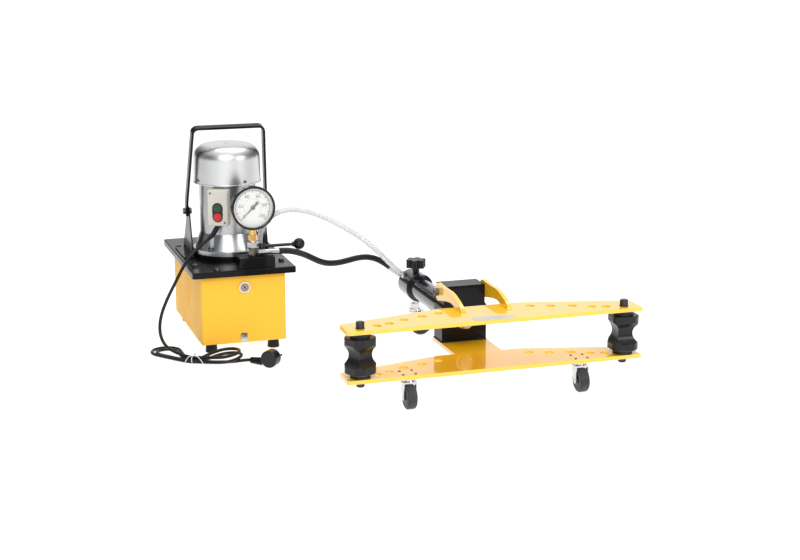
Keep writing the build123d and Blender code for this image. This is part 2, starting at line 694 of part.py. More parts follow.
COVER_WALL = 1.6
with BuildPart() as fan_cover:
    with BuildSketch(station(0, 0, COVER_BOTTOM)):
        Circle(COVER_R)
    extrude(amount=COVER_TOP - COVER_BOTTOM, taper=1.2)
    fillet(fan_cover.faces().sort_by(Axis.Z)[-1].edges(), radius=31)
    offset(amount=-COVER_WALL, openings=fan_cover.faces().sort_by(Axis.Z)[0])
    with BuildSketch(station(0, 0, COVER_TOP - 5)):
        Circle(3.5)
    extrude(amount=6, mode=Mode.SUBTRACT)
    # four tabs that carry the cover on the motor frame
    with BuildSketch(station(0, 0, COVER_BOTTOM)):
        with PolarLocations((MOTOR_R + COVER_R - 0.6) / 2, 4, start_angle=20):
            Rectangle(COVER_R - MOTOR_R - 1.2, 12)
    extrude(amount=3)
fan_cover.part.label = "fan_cover"
export_step(fan_cover.part, "parts/fan_cover.step")

# Pan-head screws: fan cover to its tabs, caster plates to the lower wing.
with BuildPart() as pan_screws:
    for a in (20, 110, 200, 290):
        radial = (cos(radians(a)), sin(radians(a)), 0)
        with BuildSketch(
            station((COVER_R - 1.5) * radial[0], (COVER_R - 1.5) * radial[1], COVER_BOTTOM + 9,
                    z_dir=radial, x_dir=UP)
        ):
            Circle(3.2)
        extrude(amount=3.5)
    for side in (-1, 1):
        with BuildSketch(bench(side * CASTER_X, 0, LOWER_TOP)):
            with GridLocations(26, 26, 2, 2):
                Circle(2.6)
        extrude(amount=1.2)
pan_screws.part.label = "pan_screws"
export_step(pan_screws.part, "parts/pan_screws.step")

# ---------------------------------------------------------------- radial piston pump in the tank
PUMP_R = 42.0
with BuildPart() as pump_body:
    with BuildSketch(station(0, 0, 112)):
        Circle(PUMP_R)
        Circle(20, mode=Mode.SUBTRACT)
    extrude(amount=TANK_TOP - 112)
    with BuildSketch(station(0, 0, 104)):
        Circle(PUMP_R)
    extrude(amount=8)
    # heads of the three radial plungers
    for a in (30, 150, 270):
        radial = (cos(radians(a)), sin(radians(a)), 0)
        with BuildSketch(
            station(PUMP_R * 0.96 * radial[0], PUMP_R * 0.96 * radial[1], 137,
                    z_dir=radial, x_dir=UP)
        ):
            Circle(9)
        extrude(amount=16)
pump_body.part.label = "pump_body"
export_step(pump_body.part, "parts/pump_body.step")

with BuildPart() as suction_filter:
    with BuildSketch(station(0, 0, 52)):
        Circle(24)
    extrude(amount=34)
    with BuildSketch(station(0, 0, 86)):
        Circle(9)
    extrude(amount=18)
suction_filter.part.label = "suction_filter"
export_step(suction_filter.part, "parts/suction_filter.step")

# ---------------------------------------------------------------- valve block and pipework
with BuildPart() as valve_block:
    with BuildSketch(station(30, -143.5, LID_TOP)):
        RectangleRounded(80, 45, 2)
    extrude(amount=VALVE_TOP - LID_TOP)
    chamfer(valve_block.faces().sort_by(Axis.Z)[-1].edges(), length=1)
    with BuildSketch(station(LEVER_X, LEVER_Y, VALVE_TOP)):
        Circle(5)
    extrude(amount=-16, mode=Mode.SUBTRACT)
valve_block.part.label = "valve_block"
export_step(valve_block.part, "parts/valve_block.step")

TEE_TOP = PORT_Z + 10
with BuildPart() as gauge_fittings:
    with BuildSketch(station(FITTING_X, FITTING_Y, VALVE_TOP)):
        RegularPolygon(radius=13, side_count=6, rotation=30)
    extrude(amount=TEE_TOP - VALVE_TOP)
    with BuildSketch(station(FITTING_X, FITTING_Y, TEE_TOP)):
        Circle(9)
    extrude(amount=3)
    with BuildSketch(station(FITTING_X, FITTING_Y, TEE_TOP + 3)):
        RegularPolygon(radius=12.5, side_count=6)
    extrude(amount=12)
    with BuildSketch(station(FITTING_X, FITTING_Y, TEE_TOP + 15)):
        Circle(7)
    extrude(amount=4)
    with BuildSketch(station(FITTING_X, FITTING_Y, TEE_TOP + 19)):
        RegularPolygon(radius=10.5, side_count=6)
    extrude(amount=12)
    with BuildSketch(station(FITTING_X, FITTING_Y, TEE_TOP + 31)):
        Circle(8)
    extrude(amount=GAUGE_Z - GAUGE_R - TEE_TOP - 31 + 4)
gauge_fittings.part.label = "gauge_fittings"
export_step(gauge_fittings.part, "parts/gauge_fittings.step")

# ---------------------------------------------------------------- valve lever
with BuildPart() as valve_lever:
    with BuildSketch(station(LEVER_X, LEVER_Y, VALVE_TOP - 15)):
        Circle(5 - FIT)
    extrude(amount=LEVER_Z - VALVE_TOP + 8)
    with BuildSketch(station(LEVER_X, LEVER_Y, LEVER_Z - 7)):
        Circle(LEVER_HUB_R)
    extrude(amount=14)
    fillet(valve_lever.faces().sort_by(Axis.Z)[-1].edges(), radius=2)
    with BuildSketch(station_side(LEVER_X + 4, LEVER_Y, LEVER_Z)):
        Circle(LEVER_ROD_R)
    extrude(amount=LEVER_LENGTH - 12)
valve_lever.part.label = "valve_lever"
export_step(valve_lever.part, "parts/valve_lever.step")

with BuildPart() as lever_ball:
    with Locations((STATION_X + LEVER_X + LEVER_LENGTH, STATION_Y + LEVER_Y, LEVER_Z)):
        Sphere(LEVER_BALL_R)
    with BuildSketch(
        station_side(LEVER_X + LEVER_LENGTH - 15, LEVER_Y, LEVER_Z)
    ):
        Circle(6)
    extrude(amount=10)
    with BuildSketch(
        station_side(LEVER_X + LEVER_LENGTH - 16, LEVER_Y, LEVER_Z)
    ):
        Circle(LEVER_ROD_R)
    extrude(amount=8, mode=Mode.SUBTRACT)
lever_ball.part.label = "lever_ball"
export_step(lever_ball.part, "parts/lever_ball.step")

# ---------------------------------------------------------------- pressure gauge
GAUGE_DEPTH = 30.0
DIAL_BACK = 11.0
with BuildPart() as gauge_case:
    with BuildSketch(station(FITTING_X, GAUGE_FRONT, GAUGE_Z, z_dir=(0, 1, 0))):
        Circle(GAUGE_R)
    extrude(amount=7)
    with BuildSketch(station(FITTING_X, GAUGE_FRONT + 7, GAUGE_Z, z_dir=(0, 1, 0))):
        Circle(GAUGE_R - 2.5)
    extrude(amount=GAUGE_DEPTH - 7)
    fillet(gauge_case.faces().sort_by(Axis.Y)[-1].edges(), radius=4)
    chamfer(gauge_case.faces().sort_by(Axis.Y)[0].edges(), length=1.5)
    with BuildSketch(station(FITTING_X, GAUGE_FRONT, GAUGE_Z, z_dir=(0, 1, 0))):
        Circle(GAUGE_R - 4.5)
    extrude(amount=DIAL_BACK, mode=Mode.SUBTRACT)
gauge_case.part.label = "gauge_case"
export_step(gauge_case.part, "parts/gauge_case.step")

with BuildPart() as gauge_dial:
    with BuildSketch(station(FITTING_X, GAUGE_FRONT + DIAL_BACK, GAUGE_Z, z_dir=FRONT)):
        Circle(GAUGE_R - 4.5)
    extrude(amount=1)
gauge_dial.part.label = "gauge_dial"
export_step(gauge_dial.part, "parts/gauge_dial.step")

with BuildPart() as gauge_glass:
    with BuildSketch(station(FITTING_X, GAUGE_FRONT + 1.5, GAUGE_Z, z_dir=(0, 1, 0))):
        Circle(GAUGE_R - 4.5)
    extrude(amount=2)
gauge_glass.part.label = "gauge_glass"
export_step(gauge_glass.part, "parts/gauge_glass.step")

# The needle lies at zero, down and to the left.
NEEDLE_PLANE = station(FITTING_X, GAUGE_FRONT + 8.5, GAUGE_Z, z_dir=FRONT,
                       x_dir=(-cos(radians(45)), 0, -sin(radians(45))))
with BuildPart() as gauge_needle:
    with BuildSketch(NEEDLE_PLANE):
        with BuildLine():
            Polyline((36, 0), (-8, 2.2), (-17, 3.4), (-17, -3.4), (-8, -2.2), (36, 0))
        make_face()
        Circle(5)
    extrude(amount=1.2)
gauge_needle.part.label = "gauge_needle"
export_step(gauge_needle.part, "parts/gauge_needle.step")

# ---------------------------------------------------------------- switch box
BOX_W = 46.0
BUTTON_R = 9.5
START_Z, STOP_Z = 317.0, 297.0

with BuildPart() as switch_box:
    with BuildSketch(box_plane(BOX_BACK, BOX_MID)):
        RectangleRounded(BOX_W, SWITCH_Z1 - SWITCH_Z0, 4)
    extrude(amount=SWITCH_FACE - BOX_BACK)
    fillet(switch_box.faces().sort_by(Axis((0, 0, 0), BOX_OUT))[-1].edges(), radius=2.5)
    for z in (START_Z, STOP_Z):
        with BuildSketch(box_plane(SWITCH_FACE, z)):
            Circle(BUTTON_R + 0.3)
        extrude(amount=-10, mode=Mode.SUBTRACT)
switch_box.part.label = "switch_box"
export_step(switch_box.part, "parts/switch_box.step")

for name, z in (("start_button", START_Z), ("stop_button", STOP_Z)):
    with BuildPart() as button:
        with BuildSketch(box_plane(SWITCH_FACE - 5, z)):
            Circle(BUTTON_R)
        extrude(amount=9)
        front_face = button.faces().sort_by(Axis((0, 0, 0), BOX_OUT))[-1]
        fillet(front_face.edges(), radius=1.2)
    button.part.label = name
    export_step(button.part, f"parts/{name}.step")

# The mains lead leaves the box's foot through a gland that points down and to the left.
GLAND_DIR = Vector(-0.55, -0.30, -0.78).normalized()
GLAND_FOOT = Vector(80 * BOX_OUT[0], 80 * BOX_OUT[1], SWITCH_Z0 + 4)
GLAND_END = GLAND_FOOT + GLAND_DIR * 16
with BuildPart() as cord_gland:
    with BuildSketch(station(*GLAND_FOOT, z_dir=GLAND_DIR, x_dir=(0.3, -0.55, 0))):
        Circle(6.5)
    extrude(amount=16, taper=4)
cord_gland.part.label = "cord_gland"
export_step(cord_gland.part, "parts/cord_gland.step")

# ---------------------------------------------------------------- carrying handle
BRACKET_X = 85.5
BRACKET_THICK = 3.0
BRACKET_FRONT, BRACKET_BACK = -25.0, 95.0
with BuildPart() as handle_brackets:
    for side in (-1, 1):
        with BuildSketch(station_side(side * BRACKET_X, 0, 0)):
            with BuildLine():
                Polyline(
                    (BRACKET_FRONT, LID_TOP), (BRACKET_BACK, LID_TOP),
                    (HANDLE_PIVOT_Y + 10, HANDLE_PIVOT_Z + 2),
                    (HANDLE_PIVOT_Y - 10, HANDLE_PIVOT_Z + 2), (BRACKET_FRONT, LID_TOP),
                )
            make_face()
            with Locations((HANDLE_PIVOT_Y, HANDLE_PIVOT_Z)):
                Circle(10)
                Circle(4, mode=Mode.SUBTRACT)
        extrude(amount=side * BRACKET_THICK)
        with BuildSketch(
            station(side * (BRACKET_X + 11), (BRACKET_FRONT + BRACKET_BACK) / 2, LID_TOP)
        ):
            Rectangle(22, BRACKET_BACK - BRACKET_FRONT)
        extrude(amount=3)
handle_brackets.part.label = "handle_brackets"
export_step(handle_brackets.part, "parts/handle_brackets.step")

BAR_THICK = 5.0
BAR_WIDTH = 18.0
HANDLE_RUN = hypot(HANDLE_TOP_Y - HANDLE_PIVOT_Y, HANDLE_TOP_Z - HANDLE_PIVOT_Z)
LEAN = (0, (HANDLE_TOP_Y - HANDLE_PIVOT_Y) / HANDLE_RUN,
        (HANDLE_TOP_Z - HANDLE_PIVOT_Z) / HANDLE_RUN)
HANDLE_NORMAL = (0, -LEAN[2], LEAN[1])
LEG_X = BRACKET_X + BRACKET_THICK + 0.5

with BuildPart() as carrying_handle:
    with BuildSketch(
        station(0, HANDLE_PIVOT_Y, HANDLE_PIVOT_Z, z_dir=HANDLE_NORMAL, x_dir=RIGHT)
    ) as strap:
        with BuildLine():
            FilletPolyline(
                (-LEG_X - BAR_THICK, -10), (-LEG_X - BAR_THICK, 24),
                (-HANDLE_HALF_TOP - BAR_THICK, HANDLE_RUN + BAR_THICK / 2),
                (HANDLE_HALF_TOP + BAR_THICK, HANDLE_RUN + BAR_THICK / 2),
                (LEG_X + BAR_THICK, 24), (LEG_X + BAR_THICK, -10),
                radius=(6, 15, 15, 6),
            )
            Line((LEG_X + BAR_THICK, -10), (LEG_X, -10))
            FilletPolyline(
                (LEG_X, -10), (LEG_X, 24), (HANDLE_HALF_TOP, HANDLE_RUN - BAR_THICK / 2),
                (-HANDLE_HALF_TOP, HANDLE_RUN - BAR_THICK / 2), (-LEG_X, 24), (-LEG_X, -10),
                radius=(6, 10, 10, 6),
            )
            Line((-LEG_X, -10), (-LEG_X - BAR_THICK, -10))
        make_face()
    extrude(amount=BAR_WIDTH / 2, both=True)
    with BuildSketch(station_side(-LEG_X - 10, HANDLE_PIVOT_Y, HANDLE_PIVOT_Z)):
        Circle(4 + FIT)
    extrude(amount=2 * LEG_X + 20, mode=Mode.SUBTRACT)
carrying_handle.part.label = "carrying_handle"
export_step(carrying_handle.part, "parts/carrying_handle.step")

# ---------------------------------------------------------------- pivot bolts
with BuildPart() as pivot_bolts:
    for side in (-1, 1):
        # the upper wing's hinge
        inner_end = side * (BLOCK_UPPER_HALF - 18)
        shank = 18 + ARM_GAP + ARM_THICK + 0.4
        with BuildSketch(bench_side(inner_end, HINGE_Y, HINGE_Z)):
            Circle(HINGE_BOLT_R)
        extrude(amount=side * shank)
        with BuildSketch(bench_side(inner_end + side * shank, HINGE_Y, HINGE_Z)):
            Circle(8)
        extrude(amount=side * 9)
        with BuildSketch(bench_side(inner_end + side * (shank + 9), HINGE_Y, HINGE_Z)):
            RegularPolygon(radius=4, side_count=6)
        extrude(amount=-side * 5, mode=Mode.SUBTRACT)
        # the carrying handle
        with BuildSketch(
            station_side(side * (BRACKET_X - 3), HANDLE_PIVOT_Y, HANDLE_PIVOT_Z)
        ):
            Circle(4)
        extrude(amount=side * (3 + BRACKET_THICK + 1 + BAR_THICK))
        for start in (BRACKET_X - 5, LEG_X + BAR_THICK + 0.5):
            with BuildSketch(station_side(side * start, HANDLE_PIVOT_Y, HANDLE_PIVOT_Z)):
                RegularPolygon(radius=7.5, side_count=6)
            extrude(amount=side * 5)
pivot_bolts.part.label = "pivot_bolts"
export_step(pivot_bolts.part, "parts/pivot_bolts.step")

# ================================================================ hoses and mains lead
# ---------------------------------------------------------------- end fittings of the two hoses
ELBOW = Vector(411, -66, MID_Z)
ELBOW_DIR = Vector(-0.80, 0, 0.60)
PRESSURE_END = ELBOW + ELBOW_DIR * 57     # where the pressure hose meets its rear ferrule
RETURN_DIR = Vector(-0.75, 0, 0.66).normalized()
RETURN_Y = -112.0
RETURN_AXIS = Vector(411, RETURN_Y, MID_Z)
RETURN_END = RETURN_AXIS + RETURN_DIR * (COLLAR_R + 12)
BARB_X, BARB_Y = 52.0, -92.0
BARB_TOP = LID_TOP + 22


def station_point(v):
    """Point given from the station's middle, in the part's frame."""
    return Vector(STATION_X + v.X, STATION_Y + v.Y, v.Z)


with BuildPart() as hose_fittings:
    # pressure nipple and ferrule at the valve's tee
    with BuildSketch(station_side(FITTING_X + 11, FITTING_Y, PORT_Z)):
        RegularPolygon(radius=7.5, side_count=6)
    extrude(amount=15)
    with BuildSketch(station_side(FITTING_X + 26, FITTING_Y, PORT_Z)):
        Circle(6)
    extrude(amount=33)
    # elbow and ferrule at the cylinder's rear
    with BuildSketch(station(411, -90, MID_Z, z_dir=(0, 1, 0))):
        RegularPolygon(radius=13, side_count=6)
    extrude(amount=12)
    with BuildSketch(station(411, -78, MID_Z, z_dir=(0, 1, 0))):
        Circle(9)
    extrude(amount=12)
    with Locations(station_point(ELBOW)):
        Sphere(9.5)
    with BuildSketch(station(*ELBOW, z_dir=ELBOW_DIR, x_dir=(0, 1, 0))):
        Circle(8)
    extrude(amount=57)
    # return barbs on the lid and on the collar
    with BuildSketch(station(BARB_X, BARB_Y, LID_TOP)):
        RegularPolygon(radius=9, side_count=6)
    extrude(amount=10)
    with BuildSketch(station(BARB_X, BARB_Y, LID_TOP + 10)):
        Circle(4.5)
    extrude(amount=12)
    barb_foot = RETURN_AXIS + RETURN_DIR * (COLLAR_R - 1)
    with BuildSketch(
        station(*barb_foot, z_dir=RETURN_DIR, x_dir=(0, 1, 0))
    ):
        RegularPolygon(radius=8.5, side_count=6)
    extrude(amount=7)
    with BuildSketch(
        station(*barb_foot, z_dir=RETURN_DIR, x_dir=(0, 1, 0))
    ):
        Circle(4.5)
    extrude(amount=13)
hose_fittings.part.label = "hose_fittings"
export_step(hose_fittings.part, "parts/hose_fittings.step")


def corner_radii(points):
    """One arc for each inner point: 0.45 of the shorter run, over the tangent of half the turn."""
    radii = []
    for before, here, after in zip(points, points[1:], points[2:]):
        run_in = here - before
        run_out = after - here
        half_turn = radians(run_in.get_angle(run_out)) / 2
        radii.append(0.45 * min(run_in.length, run_out.length) / tan(half_turn))
    return radii


def report_cord(name, points, path, solid, diameter):
    """Print what a cord measures: its length, volume against section times length, arcs."""
    section = pi * diameter ** 2 / 4
    turns = [(b - a).get_angle(c - b) for a, b, c in zip(points, points[1:], points[2:])]
    print(
        name, "length", round(path.length, 1),
        "volume ratio", round(solid.volume / (section * path.length), 4),
        "radii", [round(r) for r in corner_radii(points)], "turns", [round(t) for t in turns],
    )


# ---------------------------------------------------------------- pressure and return hoses
PRESSURE_ROUTE = [
    (84, FITTING_Y, PORT_Z), (104, FITTING_Y, PORT_Z), (126, -144.5, 218.4),
    (146, -143, 210.3), (164.5, -139.5, 199.6), (182, -134.5, 190.2), (202, -128, 183.6),
    (226, -118.5, 181), (252, -106.5, 181.8), (279, -93, 183.3), (304, -80.5, 181.4),
    (327, -71, 175), tuple(PRESSURE_END + ELBOW_DIR * 22), tuple(PRESSURE_END),
]
RETURN_ROUTE = [
    (BARB_X, BARB_Y, BARB_TOP), (BARB_X, BARB_Y, 234), (53, -93, 254), (62.5, -95, 278.5),
    (82, -97.5, 297.5), (108, -100, 307.5), (136, -102, 307.5), (164, -104, 301),
    (194, -106, 289), (225, -108, 272.5), (256, -109.5, 253.8), (286, -110.7, 233.5),
    (314, -111.5, 209), (340, -112, 183.5), tuple(RETURN_END + RETURN_DIR * 20),
    tuple(RETURN_END),
]

for name, route, diameter in (
    ("pressure_hose", PRESSURE_ROUTE, HOSE_D), ("return_hose", RETURN_ROUTE, RETURN_D)
):
    points = [station_point(Vector(*p)) for p in route]
    with BuildPart() as hose:
        with BuildLine() as path:
            FilletPolyline(*points, radius=corner_radii(points))
        with BuildSketch(Plane(origin=points[0], z_dir=points[1] - points[0])):
            Circle(diameter / 2)
        sweep(path=path.wires()[0])
    report_cord(name, points, path.wires()[0], hose.part, diameter)
    hose.part.label = name
    export_step(hose.part, f"parts/{name}.step")

# ---------------------------------------------------------------- mains lead
# It falls to the floor beside the tank, is tied up in a hank of two lobes, and ends in a plug.
LEFT_LOBE = (-160.0, -144.0)
LEFT_LOBE_TURN = 118.0
RIGHT_LOBE = (-70.0, -209.0)
HANK_HEIGHT = 20.0
PLUG_AT = Vector(28, -284, 19.5)
PLUG_R = 19.0
PLUG_TURN = -41.0
SLEEVE_DIR = Vector(cos(radians(PLUG_TURN)), sin(radians(PLUG_TURN)), 0)
PIN_DIR = Vector(-SLEEVE_DIR.Y, SLEEVE_DIR.X, 0)
SLEEVE_LENGTH = 50.0
SLEEVE_END = PLUG_AT - SLEEVE_DIR * SLEEVE_LENGTH - Vector(0, 0, 9.5)

DROP_ROUTE = [
    tuple(GLAND_END), tuple(GLAND_END + GLAND_DIR * 15), (-72, -89.5, 243.5), (-93, -94, 229),
    (-112, -97, 210.5), (-127, -100.5, 188.5), (-140, -104, 166), (-154, -108.5, 143),
    (-167, -114, 121), (-179, -120, 96), (-186, -127, 71), (-186, -134, 47),
    (-176, -141, 27), (-161, -149, 14), (-147, -161, 9),
]
LEAD_ROUTE = [(-36, -230, 6), (-24, -239, 7.5), tuple(SLEEVE_END)]

with BuildPart() as power_cord:
    for route in (DROP_ROUTE, LEAD_ROUTE):
        points = [station_point(Vector(*p)) for p in route]
        with BuildLine() as path:
            FilletPolyline(*points, radius=corner_radii(points))
        with BuildSketch(Plane(origin=points[0], z_dir=points[1] - points[0])):
            Circle(CORD_D / 2)
        solid = sweep(path=path.wires()[0])
        report_cord("power_cord", points, path.wires()[0], solid, CORD_D)
power_cord.part.label = "power_cord"
export_step(power_cord.part, "parts/power_cord.step")

lobe_dir = (cos(radians(LEFT_LOBE_TURN)), sin(radians(LEFT_LOBE_TURN)), 0)
with BuildPart() as cord_hank:
    with BuildSketch(station(*LEFT_LOBE, 0, x_dir=lobe_dir)):
        Ellipse(68, 34)
    extrude(amount=HANK_HEIGHT)
    with BuildSketch(station(*RIGHT_LOBE, 0)):
        Ellipse(55, 62)
    extrude(amount=HANK_HEIGHT)
cord_hank.part.label = "cord_hank"
export_step(cord_hank.part, "parts/cord_hank.step")

with BuildPart() as mains_plug:
    base = PLUG_AT - PIN_DIR * 13
    with BuildSketch(station(*base, z_dir=PIN_DIR, x_dir=UP)):
        Circle(PLUG_R)
    extrude(amount=26)
    fillet(mains_plug.edges().filter_by(GeomType.CIRCLE), radius=3)
    low = PLUG_AT - Vector(0, 0, 9.5)
    with BuildSketch(station(*low, z_dir=-SLEEVE_DIR, x_dir=PIN_DIR)):
        Circle(8.5)
    extrude(amount=SLEEVE_LENGTH, taper=4)
    face = PLUG_AT + PIN_DIR * 12
    for across in (-9.5, 9.5):
        foot = face + SLEEVE_DIR * across
        with BuildSketch(station(*foot, z_dir=PIN_DIR, x_dir=UP)):
            Circle(2.4)
        extrude(amount=20)
mains_plug.part.label = "mains_plug"
export_step(mains_plug.part, "parts/mains_plug.step")
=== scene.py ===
"""Looks of the electric hydraulic pipe bender: camera, cords, materials and detail pieces."""
import json
from math import asin, atan2, cos, degrees, pi, radians, sin

import bmesh
import bpy
from mathutils import Matrix, Vector


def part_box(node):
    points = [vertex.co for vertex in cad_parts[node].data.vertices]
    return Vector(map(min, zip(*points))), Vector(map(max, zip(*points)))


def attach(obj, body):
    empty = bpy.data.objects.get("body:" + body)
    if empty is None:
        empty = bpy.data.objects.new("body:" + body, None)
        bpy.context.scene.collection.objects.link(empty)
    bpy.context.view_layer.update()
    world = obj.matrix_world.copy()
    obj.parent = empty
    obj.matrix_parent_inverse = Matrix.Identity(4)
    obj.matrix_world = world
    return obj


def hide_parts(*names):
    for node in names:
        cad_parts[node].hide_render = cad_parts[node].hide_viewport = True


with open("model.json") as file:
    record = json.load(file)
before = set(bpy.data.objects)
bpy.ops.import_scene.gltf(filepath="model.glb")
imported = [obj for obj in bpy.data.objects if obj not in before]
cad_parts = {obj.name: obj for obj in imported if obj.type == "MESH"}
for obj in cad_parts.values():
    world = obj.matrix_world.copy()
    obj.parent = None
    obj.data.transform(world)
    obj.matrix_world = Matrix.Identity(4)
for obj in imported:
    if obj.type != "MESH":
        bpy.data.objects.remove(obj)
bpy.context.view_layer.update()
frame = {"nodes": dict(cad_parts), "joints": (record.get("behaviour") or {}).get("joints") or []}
NODES = frame["nodes"]
scene = bpy.context.scene


# ================================================================ places
def middle(node):
    """Middle of a CAD node's box."""
    low, high = (Vector(c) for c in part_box(node))
    return (low + high) / 2


WING_MID = middle("lower_wing")
BENCH = Vector((WING_MID.x, middle("left_roller_pin").y, 0))
STATION = Vector((middle("fan_cover").x, middle("fan_cover").y, 0))
UP = Vector((0, 0, 1))
BACK = Vector((0, 1, 0))


def bench(x, y, z):
    """Point given from the middle between the roller pins."""
    return BENCH + Vector((x, y, z))


def station(x, y, z):
    """Point given from the motor's axis."""
    return STATION + Vector((x, y, z))


# ================================================================ camera
LENS = 72.0                                   # on a 36 mm wide sensor
EYE = bench(-1.1345, -2.905, 1.006)
PITCH = radians(-13.7)
HEADING = Vector((0.3057, 0.9521, 0)).normalized()


def make_camera():
    data = bpy.data.cameras.new("camera")
    data.lens = LENS
    data.sensor_width = 36.0
    data.clip_start = 0.05
    data.clip_end = 60
    camera = bpy.data.objects.new("camera", data)
    scene.collection.objects.link(camera)
    look = HEADING * cos(PITCH) + UP * sin(PITCH)
    camera.location = EYE
    camera.rotation_mode = "QUATERNION"
    camera.rotation_quaternion = look.to_track_quat("-Z", "Y")
    scene.camera = camera


make_camera()


# ================================================================ materials
class Shader:
    """One Principled material, built up from nodes."""

    def __init__(self, name, **sockets):
        self.material = bpy.data.materials.new(name)
        self.material.use_nodes = True
        self.tree = self.material.node_tree
        self.principled = self.tree.nodes["Principled BSDF"]
        for socket, value in sockets.items():
            self.principled.inputs[socket.replace("_", " ")].default_value = value
        self.places = self.node("ShaderNodeTexCoord").outputs["Object"]

    def node(self, kind, settings=None, **inputs):
        made = self.tree.nodes.new(kind)
        for key, value in (settings or {}).items():
            setattr(made, key, value)
        for key, value in inputs.items():
            socket = made.inputs[key.replace("_", " ")]
            if isinstance(value, bpy.types.NodeSocket):
                self.tree.links.new(value, socket)
            else:
                socket.default_value = value
        return made

    def link(self, output, socket):
        self.tree.links.new(output, self.principled.inputs[socket])

    def noise(self, scale, detail=4.0, roughness=0.6, stretch=None):
        places = self.places
        if stretch:
            places = self.node("ShaderNodeMapping", Vector=places, Scale=stretch).outputs[0]
        return self.node(
            "ShaderNodeTexNoise", Vector=places, Scale=scale, Detail=detail,
            Roughness=roughness,
        ).outputs["Fac"]

    def ramp(self, value, stops, interpolation="EASE"):
        made = self.node("ShaderNodeValToRGB", Fac=value)
        made.color_ramp.interpolation = interpolation
        elements = made.color_ramp.elements
        while len(elements) < len(stops):
            elements.new(0.5)
        for element, (position, colour) in zip(elements, stops):
            element.position = position
            element.color = colour if len(colour) == 4 else (*colour, 1)
        return made.outputs["Color"]

    def spread(self, value, low, high):
        """The value, taken from its usual 0.3 to 0.7 to a range."""
        return self.node(
            "ShaderNodeMapRange", Value=value, From_Min=0.3, From_Max=0.7, To_Min=low,
            To_Max=high,
        ).outputs["Result"]

    def mix(self, factor, a, b, blend="MIX"):
        made = self.node("ShaderNodeMix", {"data_type": "RGBA", "blend_type": blend})
        for socket, value in ((0, factor), (6, a), (7, b)):
            if isinstance(value, bpy.types.NodeSocket):
                self.tree.links.new(value, made.inputs[socket])
            elif socket == 0:
                made.inputs[0].default_value = value
            else:
                made.inputs[socket].default_value = (*value, 1)
        return made.outputs[2]

    def rounded(self, radius, samples=4):
        """Normals that round the edges off by a radius."""
        return self.node("ShaderNodeBevel", {"samples": samples}, Radius=radius).outputs[0]

    def edges(self, radius=0.0015):
        """1 along edges and 0 on flats."""
        soft = self.rounded(radius)
        flat = self.node("ShaderNodeNewGeometry").outputs["True Normal"]
        dot = self.node("ShaderNodeVectorMath", {"operation": "DOT_PRODUCT"})
        self.tree.links.new(soft, dot.inputs[0])
        self.tree.links.new(flat, dot.inputs[1])
        return self.node(
            "ShaderNodeMapRange", Value=dot.outputs["Value"], From_Min=0.995, From_Max=0.9,
            To_Min=0.0, To_Max=1.0,
        ).outputs["Result"]

    def bumps(self, *layers, rounding=0.0):
        """Bump layers of (height, strength, distance), the last on top, on rounded edges."""
        normal = self.rounded(rounding) if rounding else None
        for height, strength, distance in layers:
            bump = self.node(
                "ShaderNodeBump", Height=height, Strength=strength, Distance=distance
            )
            if normal is not None:
                self.tree.links.new(normal, bump.inputs["Normal"])
            normal = bump.outputs["Normal"]
        self.link(normal, "Normal")


def paint(name, colour, shade, roughness, grain=900.0, depth=0.00004, coat=1.0, wear=0.0,
          gloss=0.04, index=1.5, shine=0.5):
    """Sprayed enamel: slow colour drift, orange peel, a clear coat and slightly rubbed edges."""
    s = Shader(name, Coat_Weight=coat, Coat_Roughness=gloss, Coat_IOR=index,
               Specular_IOR_Level=shine)
    drift = s.mix(s.spread(s.noise(6.0, 3.0), 0.0, 1.0), colour, shade)
    specks = s.ramp(s.noise(260.0, 2.0), [(0.0, (1, 1, 1)), (0.36, (0.93, 0.93, 0.93)),
                                         (0.4, (1, 1, 1))])
    tone = s.mix(0.35, drift, specks, "MULTIPLY")
    if wear:
        rubbed = tuple(min(1.0, c * 1.25 + 0.06) for c in colour)
        patchy = s.spread(s.noise(70.0, 5.0), 0.0, 1.0)
        amount = s.node("ShaderNodeMath", {"operation": "MULTIPLY"})
        s.tree.links.new(s.edges(), amount.inputs[0])
        s.tree.links.new(patchy, amount.inputs[1])
        less = s.node("ShaderNodeMath", {"operation": "MULTIPLY"})
        s.tree.links.new(amount.outputs[0], less.inputs[0])
        less.inputs[1].default_value = wear
        tone = s.mix(less.outputs[0], tone, rubbed)
    s.link(tone, "Base Color")
    s.link(s.spread(s.noise(24.0, 5.0), roughness * 0.8, roughness * 1.25), "Roughness")
    s.bumps((s.noise(grain, 2.0), 0.35, depth), (s.noise(18.0, 2.0), 0.1, 0.0006),
            rounding=0.0007)
    return s.material


def metal(name, colour, shade, roughness, brushed=None, depth=0.00006, rounding=0.0005,
          grain=160.0, uneven=0.35):
    """Bare metal: drift of tone, streaks along one direction and fine scratches."""
    s = Shader(name, Metallic=1.0)
    streaks = s.noise(grain, 6.0, 0.7, stretch=brushed or (1, 1, 1))
    s.link(s.mix(s.spread(streaks, 0.0, 1.0), colour, shade), "Base Color")
    s.link(s.spread(s.noise(60.0, 5.0, 0.7, stretch=brushed), roughness * (1 - uneven),
                    roughness * (1 + uneven)), "Roughness")
    s.bumps((streaks, 0.25, depth), rounding=rounding)
    return s.material


